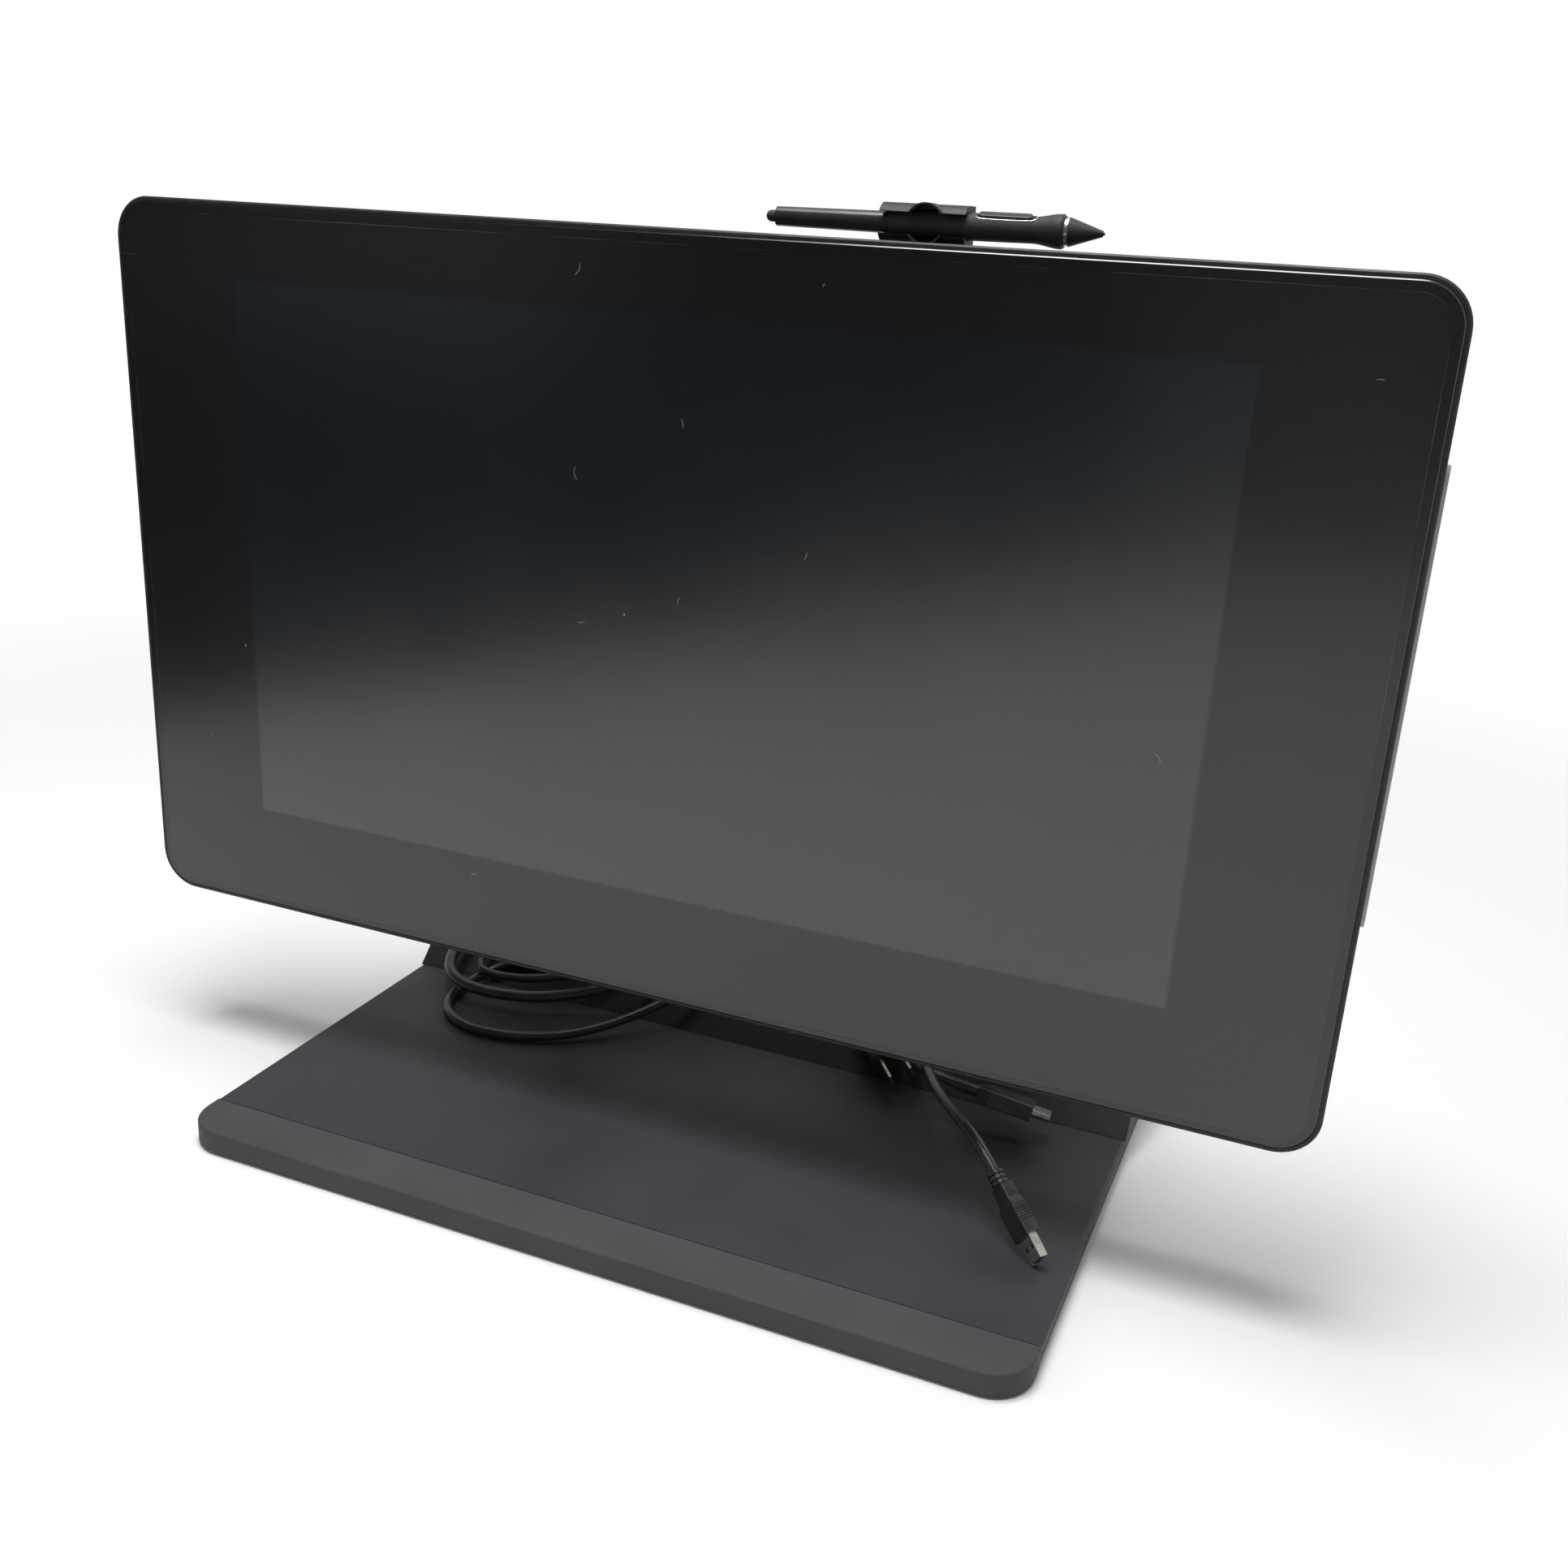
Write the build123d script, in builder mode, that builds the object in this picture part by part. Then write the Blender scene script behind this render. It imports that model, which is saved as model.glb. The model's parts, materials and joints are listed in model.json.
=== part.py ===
from build123d import *
import os
from math import cos, hypot, pi, radians, sin, tan

os.makedirs("parts", exist_ok=True)

# A pen display on a two-arm stand. Origin: middle of the base's footprint, on the table.
# +Z up, +X to the viewer's right, -Y towards the viewer. All lengths in millimetres.

# Fits and general sizes
face_gap = 0.3          # between faces that move past each other
running_gap = 0.05      # radial, shaft in bush
seam = 0.5              # visible joint between trims
overrun = 2.0           # how far a cut runs past its face

# Base
base_width = 474.0
base_depth = 339.0
foot_proud = 2.0
tray_height = 8.0
plate_thick = 4.0
trim_depth = 29.5
trim_corner = 22.0
trim_edge = 1.2
plate_edge = 1.6
base_rear_corner = 14.0
tray_wall = 2.5
tray_rib_pitch = 58.0
foot_radius = 11.0
foot_recess = 1.0
foot_side_inset = 30.0
foot_front_inset = 46.0
foot_rear_inset = 26.0

front_y = -base_depth / 2
rear_y = base_depth / 2
seam_y = front_y + trim_depth
tray_bottom = foot_proud
tray_top = tray_bottom + tray_height
plate_top = tray_top + plate_thick

# Rear housing: 45 degree front slope, two arm wells, a cable well between them
crease_y = 57.7
housing_top = 62.0
housing_wall = 3.0
housing_edge = 3.0
cable_well_half = 116.0
cable_shelf = 30.0
cable_well_back = 132.0
arm_well_front = 84.0
arm_well_back = 150.0
slope_top_y = crease_y + housing_top - plate_top
slope_wall = housing_wall * hypot(1, 1)

# Arms
arm_x = 150.0
arm_width = 36.0
arm_low_y = 125.0
arm_low_z = 50.0
arm_top_y = 10.0
arm_top_z = 293.7
low_hub_radius = 20.0
top_hub_radius = 18.0
arm_low_half = 18.0
arm_top_half = 15.0
arm_edge = 2.5
pocket_width = 24.0
pocket_depth = 12.0
pocket_margin = 34.0
cover_lip = 1.5
shaft_radius = 6.0
bush_wall = 2.5
cap_thick = 3.0
cap_radius = 14.0
bracket_thick = 4.0
bracket_clear = 0.5
bracket_foot_thick = 4.0
arm_well_side = 1.0
cross_tube_radius = 13.0
cross_tube_wall = 2.5
cross_tube_share = 0.62

arm_length = hypot(arm_top_y - arm_low_y, arm_top_z - arm_low_z)
arm_lean_y = (arm_top_y - arm_low_y) / arm_length
arm_lean_z = (arm_top_z - arm_low_z) / arm_length
arm_inner_x = arm_x - arm_width / 2
arm_outer_x = arm_x + arm_width / 2
arm_well_half = arm_width / 2 + bracket_clear + bracket_thick + arm_well_side
hub_bore = shaft_radius + running_gap + bush_wall

# Display
screen_height = 394.0
screen_depth = 47.0
screen_front_y = -61.2
screen_z = 293.7
frame_corner = 21.5
glass_margin = 2.5
glass_gap = 0.2
glass_thick = 2.2
frame_front = 0.5
frame_depth = 11.5
frame_edge = 0.8
film_margin = 4.5
film_thick = 0.3
active_width = 521.6
side_border = 77.7
active_height = 293.4
active_up = 11.0
panel_border = 9.0
panel_thick = 3.5
sensor_border = 13.0
sensor_thick = 1.5
backlight_thick = 8.8
chassis_side = 18.5
chassis_end = 17.0
chassis_thick = 1.5
cover_inset = 2.0
cover_straight = 9.0
cover_slope = 24.0
cover_wall = 2.5
cover_edge = 1.5

screen_width = active_width + 2 * side_border
chassis_width = screen_width - 2 * chassis_side
chassis_height = screen_height - 2 * chassis_end
screen_top_z = screen_z + screen_height / 2
panel_front = glass_thick
sensor_front = panel_front + panel_thick
backlight_front = sensor_front + sensor_thick
chassis_front = backlight_front + backlight_thick
boards_front = chassis_front + chassis_thick
cover_front = frame_front + frame_depth


def screen_level(depth):
    """Plane parallel to the glass, this far behind its front face, local Y up."""
    return Plane(origin=(0, screen_front_y + depth, screen_z), x_dir=(1, 0, 0), z_dir=(0, -1, 0))


def side_level(x):
    """Upright plane across X; local X runs to the rear, local Y up."""
    return Plane(origin=(x, 0, 0), x_dir=(0, 1, 0), z_dir=(1, 0, 0))


# Base fittings
screw_radius = 2.0
screw_head_radius = 3.8
screw_head_height = 2.2
screw_boss_radius = 5.5
screw_grip = 3.0
screw_side_inset = 58.0
screw_end_inset = 22.0
ballast_front = 84.0
ballast_half = 100.0
ballast_height = 10.0
ballast_corner = 5.0
cheek_radius = 12.0
spring_inner = 6.3
spring_outer = 8.7
spring_length = 42.0
spring_start = 182.0
spring_leg = 5.0

foot_x = base_width / 2 - foot_side_inset
foot_places = [
    (x, y) for y in (front_y + foot_front_inset, rear_y - foot_rear_inset) for x in (-foot_x, 0, foot_x)
]
screw_x = base_width / 2 - screw_side_inset
screw_places = [
    (x, y) for y in (seam_y + screw_end_inset, crease_y - screw_end_inset) for x in (-screw_x, screw_x)
]
bracket_screw_places = [
    (x, arm_low_y + y) for x in (-arm_x, arm_x) for y in (-cheek_radius / 2, cheek_radius / 2)
]
cheek_inner = arm_width / 2 + bracket_clear
cheek_outer = cheek_inner + bracket_thick

# Cords: USB, mains and video leads, their diameters and glands
usb_thick = 6.0
mains_thick = 7.5
video_thick = 5.5
bend_share = 0.45
gland_z = 47.0
gland_places = (-20.0, -44.0, -68.0)
cord_radii = (usb_thick / 2, mains_thick / 2, video_thick / 2)
gland_radius = 6.5
gland_flange = 8.5
gland_flange_thick = 1.5
gland_wall = 2.2
gland_reach = 14.0
gland_taper = 3.0
gland_face_y = cable_well_back - gland_reach

# Tilt head, turntable and release levers
yoke_half = 112.0
yoke_radius = 15.0
yoke_edge = 1.5
washer_large = 13.0
washer_small = 10.0
tilt_bush_length = 30.0
mount_size = 124.0
mount_corner = 8.0
mount_thick = 3.5
mount_pitch = 100.0
mount_boss = 4.0
mount_boss_radius = 6.0
slip_gap = 0.2
slip_thick = 1.2
slip_outer = 56.0
slip_inner = 20.0
turntable_thick = 3.5
turntable_radius = 60.0
turn_screw_x = 35.0
turn_screw_z = 30.0
turn_screw_length = 10.0
turn_pin_radius = 9.0
pin_ring_radius = 13.0
pin_ring_thick = 1.5
pin_pocket = 2.8
web_half_x = 48.0
web_half_z = 42.0
web_corner = 6.0
lever_x = 95.0
lever_half = 6.7
lever_thick = 6.0
lever_hub = 6.5
lever_length = 78.0
lever_pin_radius = 3.0
lever_pin_back = 6.0
lever_pin_drop = 26.0
ear_thick = 4.0
ear_radius = 8.0
paddle_width = 30.0
paddle_height = 45.0
paddle_corner = 6.0

slip_front = screen_depth + mount_thick + slip_gap
turntable_front = slip_front + slip_thick
web_front = turntable_front + turntable_thick
pin_ring_end = web_front + face_gap + pin_ring_thick
lever_pin_y = arm_top_y + lever_pin_back
lever_pin_z = arm_top_z - lever_pin_drop
ear_inner = lever_half + face_gap
ear_outer = ear_inner + ear_thick

# Inside the display
glass_edge = 0.5
ledge_grip = 7.0
chassis_corner = 12.0
main_board_width = 260.0
main_board_height = 110.0
main_board_drop = 100.0
power_board_width = 200.0
power_board_height = 90.0
power_board_rise = 60.0
board_thick = 1.6
board_pad_height = 3.0
board_pad_radius = 4.0
board_pad_inset = 14.0
chip_size = 18.0
chip_height = 1.5
capacitor_radius = 8.0
capacitor_height = 9.0
fan_x = 205.0
fan_up = 40.0
fan_size = 70.0
fan_corner = 6.0
fan_wall = 2.5
fan_floor = 1.2
fan_depth = 12.0
fan_axle = 2.0
fan_hub = 12.0
fan_blade_thick = 1.2
fan_blades = 9
button_x = 250.0
button_depth = 16.5
button_radius = 3.2
button_flange = 1.2
button_proud = 1.0
button_travel = 0.8
button_board_width = 24.0
button_board_depth = 8.0
button_switch_size = 6.0

boards_level = boards_front + board_pad_height
ledge_width = chassis_width + 2 * ledge_grip
ledge_height = chassis_height + 2 * ledge_grip
board_places = [
    (-main_board_drop, main_board_width, main_board_height),
    (power_board_rise, power_board_width, power_board_height),
]
button_y = screen_front_y + button_depth
button_level = screen_top_z - cover_inset - cover_wall - face_gap
button_switch_height = (
    button_level - button_flange - button_travel - face_gap - screen_z - ledge_height / 2 - board_thick
)

# Rear cover: slotted vents, port bay and its sockets
cover_back_corner = 12.0
vent_x = 205.0
vent_up = 128.0
vent_pitch = 6.0
vent_count = 20
vent_height = 24.0
vent_width = 2.0
port_bay_drop = 130.0
port_bay_width = 150.0
port_bay_height = 34.0
port_bay_depth = 11.0
port_hole_width = 20.0
port_hole_height = 13.0
port_pitch = 27.0
jack_width = 11.0
jack_height = 7.0
video_port_width = 15.6
video_port_height = 5.6
small_port_width = 9.2
small_port_height = 3.6
socket_tongue_gap = 1.2
socket_recess = 7.0

port_sizes = (
    (-2 * port_pitch, jack_width, jack_height),
    (-port_pitch, video_port_width, video_port_height),
    (0, video_port_width, video_port_height),
    (port_pitch, small_port_width, small_port_height),
    (2 * port_pitch, small_port_width, small_port_height),
)

# Pale strips along both sides of the rear cover
strip_length = 207.0
strip_rise = 19.0
strip_depth = 20.0
strip_start = 14.0
strip_proud = 1.6
strip_reach = 30.0
strip_round = 8.0

# Pen, and the holder clipped to the top edge
pen_end_x = 28.0
pen_y = -36.6
pen_z = 498.4
pen_button_radius = 2.6
pen_button_length = 9.0
pen_button_proud = 5.5
pen_button_room = 0.7
pen_tail_radius = 4.3
pen_waist_radius = 4.8
pen_core_radius = 4.2
pen_grip_start = 61.0
pen_grip_radius = 5.6
pen_grip_middle = 5.9
pen_flare_radius = 7.3
pen_ring_start = 141.0
pen_ring_length = 1.5
pen_ring_radius = 6.1
pen_length = 157.0
pen_nose_radius = 1.3
pen_nib_radius = 0.7
pen_nib_length = 8.0
pen_nib_proud = 1.0
switch_start = 102.0
switch_length = 24.0
switch_width = 4.4
switch_thick = 1.3
switch_seat = 5.2
switch_room = 0.8
switch_turn = 25.0
switch_ridge = 2.0
holder_x = 107.2
holder_start = 85.2
holder_length = 40.0
holder_wall = 2.4
holder_lip = 4.6
holder_back_y = -28.0
holder_foot = 24.0
holder_foot_back = -34.0
holder_foot_front = -42.0
ring_outer = 9.1
ring_inner = 8.3
ring_proud = 0.6

holder_bore = pen_grip_middle + face_gap
holder_radius = holder_bore + holder_wall
holder_reach = holder_radius + ring_proud

# Base plate
with BuildPart() as base_plate:
    with BuildSketch(Plane.XY.offset(tray_top)):
        with Locations((0, (seam_y + seam + rear_y) / 2)):
            Rectangle(base_width, rear_y - seam_y - seam)
    extrude(amount=plate_thick)
    back_corners = base_plate.edges().filter_by(Axis.Z).group_by(Axis.Y)[-1]
    fillet(back_corners, radius=base_rear_corner)
    side_edges = base_plate.faces().sort_by(Axis.Z)[-1].edges().filter_by(Axis.Y)
    chamfer(side_edges, length=plate_edge)
    with BuildSketch(Plane.XY.offset(tray_top)):
        with Locations(*screw_places):
            Circle(screw_radius)
    extrude(amount=screw_grip, mode=Mode.SUBTRACT)
    with BuildSketch(Plane.XY.offset(plate_top)):
        with Locations(*bracket_screw_places):
            Circle(screw_radius)
    extrude(amount=-screw_grip, mode=Mode.SUBTRACT)
base_plate.part.label = "base_plate"
export_step(base_plate.part, "parts/base_plate.step")

# Base tray under the plate, ribbed, open at the top
tray_inset = 0.6
tray_x = base_width / 2 - tray_inset
rib_count_x = int(2 * tray_x // tray_rib_pitch)
rib_count_y = int((rear_y - seam_y) // tray_rib_pitch)
cell_x = (2 * tray_x - tray_wall) / rib_count_x
cell_y = (rear_y - tray_inset - seam_y - tray_wall) / rib_count_y
with BuildPart() as base_tray:
    with BuildSketch(Plane.XY.offset(tray_bottom)):
        with Locations((0, (seam_y + rear_y - tray_inset) / 2)):
            Rectangle(2 * tray_x, rear_y - tray_inset - seam_y)
    extrude(amount=tray_height)
    fillet(base_tray.edges().filter_by(Axis.Z).group_by(Axis.Y)[-1], radius=base_rear_corner)
    with BuildSketch(Plane.XY.offset(tray_bottom + tray_wall)):
        with Locations((0, (seam_y + rear_y - tray_inset) / 2)):
            with GridLocations(cell_x, cell_y, rib_count_x, rib_count_y):
                RectangleRounded(cell_x - tray_wall, cell_y - tray_wall, tray_wall)
    extrude(amount=tray_height, mode=Mode.SUBTRACT)
    with BuildSketch(Plane.XY.offset(tray_bottom)):
        with Locations(*screw_places):
            Circle(screw_boss_radius)
        with Locations(*foot_places):
            Circle(foot_radius + tray_wall)
    extrude(amount=tray_height)
    with BuildSketch(Plane.XY.offset(tray_bottom)):
        with Locations(*foot_places):
            Circle(foot_radius)
    extrude(amount=foot_recess, mode=Mode.SUBTRACT)
    with BuildSketch(Plane.XY.offset(tray_bottom)):
        with Locations(*screw_places):
            Circle(screw_radius)
    extrude(amount=tray_height, mode=Mode.SUBTRACT)
    with BuildSketch(Plane.XY.offset(tray_bottom)):
        with Locations(*screw_places):
            Circle(screw_head_radius)
    extrude(amount=screw_head_height, mode=Mode.SUBTRACT)
base_tray.part.label = "base_tray"
export_step(base_tray.part, "parts/base_tray.step")

# Round feet, pressed into the tray's recesses
with BuildPart() as rubber_feet:
    with BuildSketch(Plane.XY):
        with Locations(*foot_places):
            Circle(foot_radius)
    extrude(amount=foot_proud + foot_recess)
    chamfer(rubber_feet.faces().sort_by(Axis.Z)[:len(foot_places)].edges(), length=foot_proud / 4)
rubber_feet.part.label = "rubber_feet"
export_step(rubber_feet.part, "parts/rubber_feet.step")

# Screws that hold the tray to the plate, heads sunk in the tray, and the brackets to the plate
with BuildPart() as base_screws:
    with BuildSketch(Plane.XY.offset(tray_bottom)):
        with Locations(*screw_places):
            Circle(screw_head_radius)
    extrude(amount=screw_head_height)
    with BuildSketch(Plane.XY.offset(tray_bottom)):
        with Locations(*screw_places):
            Circle(screw_radius)
    extrude(amount=tray_height + screw_grip)
    with BuildSketch(Plane.XY.offset(tray_bottom)):
        with Locations(*screw_places):
            RegularPolygon(radius=screw_radius, side_count=6)
    extrude(amount=screw_head_height / 2, mode=Mode.SUBTRACT)
    with BuildSketch(Plane.XY.offset(plate_top + bracket_foot_thick)):
        with Locations(*bracket_screw_places):
            Circle(screw_head_radius)
    extrude(amount=screw_head_height)
    with BuildSketch(Plane.XY.offset(plate_top - screw_grip)):
        with Locations(*bracket_screw_places):
            Circle(screw_radius)
    extrude(amount=screw_grip + bracket_foot_thick)
base_screws.part.label = "base_screws"
export_step(base_screws.part, "parts/base_screws.step")

# Front trim, a solid moulding rounded at its two front corners
with BuildPart() as front_trim:
    with BuildSketch(Plane.XY.offset(tray_bottom)):
        with Locations((0, front_y + trim_depth / 2)):
            Rectangle(base_width, trim_depth)
    extrude(amount=plate_top - tray_bottom)
    fillet(front_trim.edges().filter_by(Axis.Z).group_by(Axis.Y)[0], radius=trim_corner)
    trim_rim = front_trim.faces().sort_by(Axis.Z)[-1].edges()
    fillet(trim_rim.filter_by(lambda e: e.center().Y < seam_y - overrun), radius=trim_edge)
front_trim.part.label = "front_trim"
export_step(front_trim.part, "parts/front_trim.step")

# Rear housing: its hollow first, then the shell round it
with BuildPart() as housing_hollow:
    with BuildSketch(side_level(housing_wall - base_width / 2)):
        with BuildLine():
            Polyline(
                (crease_y + slope_wall, plate_top),
                (slope_top_y + slope_wall - housing_wall, housing_top - housing_wall),
                (rear_y - housing_wall, housing_top - housing_wall),
                (rear_y - housing_wall, plate_top),
                close=True,
            )
        make_face()
    extrude(amount=base_width - 2 * housing_wall)
    with BuildSketch(Plane.XY.offset(plate_top)):
        for side in (-1, 1):
            with Locations((side * arm_x, (arm_well_front + arm_well_back) / 2)):
                Rectangle(
                    2 * (arm_well_half + housing_wall),
                    arm_well_back - arm_well_front + 2 * housing_wall,
                )
    extrude(amount=housing_top, mode=Mode.SUBTRACT)
    with BuildSketch(Plane.XY.offset(cable_shelf - housing_wall)):
        with Locations((0, (crease_y + cable_well_back + housing_wall) / 2)):
            Rectangle(2 * (cable_well_half + housing_wall), cable_well_back + housing_wall - crease_y)
    extrude(amount=housing_top, mode=Mode.SUBTRACT)

with BuildPart() as rear_housing:
    with BuildSketch(side_level(-base_width / 2)):
        with BuildLine():
            Polyline(
                (crease_y, plate_top),
                (slope_top_y, housing_top),
                (rear_y, housing_top),
                (rear_y, plate_top),
                close=True,
            )
        make_face()
    extrude(amount=base_width)
    fillet(rear_housing.edges().filter_by(Axis.Z).group_by(Axis.Y)[-1], radius=base_rear_corner)
    fillet(rear_housing.faces().sort_by(Axis.Z)[-1].edges(), radius=housing_edge)
    with BuildSketch(Plane.XY.offset(plate_top)):
        for side in (-1, 1):
            with Locations((side * arm_x, (arm_well_front + arm_well_back) / 2)):
                Rectangle(2 * arm_well_half, arm_well_back - arm_well_front)
    extrude(amount=housing_top, mode=Mode.SUBTRACT)
    with BuildSketch(Plane.XY.offset(cable_shelf)):
        with Locations((0, (crease_y + cable_well_back) / 2)):
            Rectangle(2 * cable_well_half, cable_well_back - crease_y)
    extrude(amount=housing_top, mode=Mode.SUBTRACT)
    add(housing_hollow.part, mode=Mode.SUBTRACT)
    with BuildSketch(Plane(origin=(0, cable_well_back, gland_z), x_dir=(1, 0, 0), z_dir=(0, 1, 0))):
        with Locations(*[(x, 0) for x in gland_places]):
            Circle(gland_radius)
    extrude(amount=housing_wall, mode=Mode.SUBTRACT)
    for start in (arm_x + arm_well_half, -arm_x - arm_well_half - housing_wall):
        with BuildSketch(side_level(start)):
            with Locations((arm_low_y, arm_low_z)):
                Circle(shaft_radius + seam)
        extrude(amount=housing_wall, mode=Mode.SUBTRACT)
rear_housing.part.label = "rear_housing"
export_step(rear_housing.part, "parts/rear_housing.step")

# Steel ballast on the base plate under the cable shelf
with BuildPart() as ballast_block:
    with BuildSketch(Plane.XY.offset(plate_top)):
        with Locations((0, (ballast_front + cable_well_back) / 2)):
            RectangleRounded(2 * ballast_half, cable_well_back - ballast_front, ballast_corner)
    extrude(amount=ballast_height)
ballast_block.part.label = "ballast_block"
export_step(ballast_block.part, "parts/ballast_block.step")

# Glands where the three cords leave the housing
with BuildPart() as cable_glands:
    for x, cord_radius in zip(gland_places, cord_radii):
        with BuildSketch(Plane(origin=(x, cable_well_back, gland_z), x_dir=(1, 0, 0), z_dir=(0, -1, 0))):
            Circle(gland_flange)
        extrude(amount=gland_flange_thick)
        with BuildSketch(Plane(origin=(x, cable_well_back, gland_z), x_dir=(1, 0, 0), z_dir=(0, 1, 0))):
            Circle(gland_radius)
        extrude(amount=housing_wall)
        with BuildSketch(Plane(origin=(x, cable_well_back, gland_z), x_dir=(1, 0, 0), z_dir=(0, -1, 0))):
            Circle(cord_radius + gland_wall)
        extrude(amount=gland_reach, taper=gland_taper)
        with BuildSketch(Plane(origin=(x, gland_face_y, gland_z), x_dir=(1, 0, 0), z_dir=(0, 1, 0))):
            Circle(cord_radius + running_gap)
        extrude(amount=gland_reach / 2, mode=Mode.SUBTRACT)
cable_glands.part.label = "cable_glands"
export_step(cable_glands.part, "parts/cable_glands.step")


# Pivot brackets: two steel cheeks and a foot each side of an arm's lower hub
with BuildPart() as pivot_brackets:
    for x in (-arm_x, arm_x):
        with BuildSketch(Plane.XY.offset(plate_top)):
            with Locations((x, arm_low_y)):
                Rectangle(2 * cheek_outer, 2 * cheek_radius)
        extrude(amount=bracket_foot_thick)
        for start in (x - cheek_outer, x + cheek_inner):
            with BuildSketch(side_level(start)):
                with Locations((arm_low_y, arm_low_z)):
                    Circle(cheek_radius)
                with Locations((arm_low_y, (plate_top + arm_low_z) / 2)):
                    Rectangle(2 * cheek_radius, arm_low_z - plate_top)
                with Locations((arm_low_y, arm_low_z)):
                    Circle(hub_bore, mode=Mode.SUBTRACT)
            extrude(amount=bracket_thick)
    with BuildSketch(Plane.XY.offset(plate_top)):
        with Locations(*bracket_screw_places):
            Circle(screw_radius)
    extrude(amount=bracket_foot_thick, mode=Mode.SUBTRACT)
pivot_brackets.part.label = "pivot_brackets"
export_step(pivot_brackets.part, "parts/pivot_brackets.step")

# Bushes in the cheeks
with BuildPart() as pivot_bushes:
    for x in (-arm_x - cheek_outer, -arm_x + cheek_inner, arm_x - cheek_outer, arm_x + cheek_inner):
        with BuildSketch(side_level(x)):
            with Locations((arm_low_y, arm_low_z)):
                Circle(hub_bore)
                Circle(shaft_radius + running_gap, mode=Mode.SUBTRACT)
        extrude(amount=bracket_thick)
pivot_bushes.part.label = "pivot_bushes"
export_step(pivot_bushes.part, "parts/pivot_bushes.step")

# Counterbalance springs in the housing's shoulders, each with a leg on the base plate
with BuildPart() as lift_springs:
    for start in (spring_start, -spring_start - spring_length):
        with BuildSketch(side_level(start)):
            with Locations((arm_low_y, arm_low_z)):
                Circle(spring_outer)
            with Locations((arm_low_y, (plate_top + arm_low_z) / 2)):
                Rectangle(spring_leg, arm_low_z - plate_top)
            with Locations((arm_low_y, arm_low_z)):
                Circle(spring_inner, mode=Mode.SUBTRACT)
        extrude(amount=spring_length)
lift_springs.part.label = "lift_springs"
export_step(lift_springs.part, "parts/lift_springs.step")

# Arms and what turns with them

def arm_level(x):
    """Plane across X through the lower pivot, local X up the arm, local Y to its front."""
    return Plane(
        origin=(x, arm_low_y, arm_low_z), x_dir=(0, arm_lean_y, arm_lean_z), z_dir=(1, 0, 0)
    )


def arm_half(share):
    """Half the arm's depth at a share of its length."""
    return arm_low_half + (arm_top_half - arm_low_half) * share


pocket_low = pocket_margin / arm_length
pocket_high = 1 - pocket_margin / arm_length


def lift_arm(side):
    with BuildPart() as arm:
        with BuildSketch(arm_level(side * arm_x - arm_width / 2)):
            Circle(low_hub_radius)
            with Locations((arm_length, 0)):
                Circle(top_hub_radius)
            with BuildLine():
                Polyline(
                    (0, arm_low_half),
                    (arm_length, arm_top_half),
                    (arm_length, -arm_top_half),
                    (0, -arm_low_half),
                    close=True,
                )
            make_face()
        extrude(amount=arm_width)
        flanks = arm.faces().filter_by(Axis.X)
        chamfer(flanks.edges(), length=arm_edge)
        with BuildSketch(arm_level(side * arm_x - arm_width / 2)):
            Circle(shaft_radius)
            with Locations((arm_length, 0)):
                Circle(shaft_radius)
        extrude(amount=arm_width, mode=Mode.SUBTRACT)
        with BuildSketch(arm_level(side * arm_x - pocket_width / 2)):
            with BuildLine():
                Polyline(
                    (pocket_margin, -arm_half(pocket_low)),
                    (arm_length - pocket_margin, -arm_half(pocket_high)),
                    (arm_length - pocket_margin, pocket_depth - arm_half(pocket_high)),
                    (pocket_margin, pocket_depth - arm_half(pocket_low)),
                    close=True,
                )
            make_face()
        extrude(amount=pocket_width, mode=Mode.SUBTRACT)
    return arm.part


arm_left = lift_arm(-1)
arm_left.label = "arm_left"
export_step(arm_left, "parts/arm_left.step")
arm_right = lift_arm(1)
arm_right.label = "arm_right"
export_step(arm_right, "parts/arm_right.step")

# Covers over the cable pockets in the back of both arms
with BuildPart() as arm_covers:
    for x in (-arm_x, arm_x):
        with BuildSketch(arm_level(x - pocket_width / 2)):
            with BuildLine():
                Polyline(
                    (pocket_margin, -arm_half(pocket_low)),
                    (arm_length - pocket_margin, -arm_half(pocket_high)),
                    (arm_length - pocket_margin, cover_lip - arm_half(pocket_high)),
                    (pocket_margin, cover_lip - arm_half(pocket_low)),
                    close=True,
                )
            make_face()
        extrude(amount=pocket_width)
arm_covers.part.label = "arm_covers"
export_step(arm_covers.part, "parts/arm_covers.step")

# Cross tube that keeps the arms in step
with BuildPart() as cross_tube:
    with BuildSketch(arm_level(-arm_inner_x)):
        with Locations((cross_tube_share * arm_length, 0)):
            Circle(cross_tube_radius)
            Circle(cross_tube_radius - cross_tube_wall, mode=Mode.SUBTRACT)
    extrude(amount=2 * arm_inner_x)
cross_tube.part.label = "cross_tube"
export_step(cross_tube.part, "parts/cross_tube.step")

# Shafts: one in each lower hub out to its spring, and one through both upper hubs
with BuildPart() as arm_shafts:
    shaft_end = spring_start + spring_length
    for start in (arm_x - cheek_outer, -shaft_end):
        with BuildSketch(side_level(start)):
            with Locations((arm_low_y, arm_low_z)):
                Circle(shaft_radius)
        extrude(amount=shaft_end - arm_x + cheek_outer)
    with BuildSketch(arm_level(-arm_outer_x)):
        with Locations((arm_length, 0)):
            Circle(shaft_radius)
    extrude(amount=2 * arm_outer_x)
arm_shafts.part.label = "arm_shafts"
export_step(arm_shafts.part, "parts/arm_shafts.step")

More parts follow.
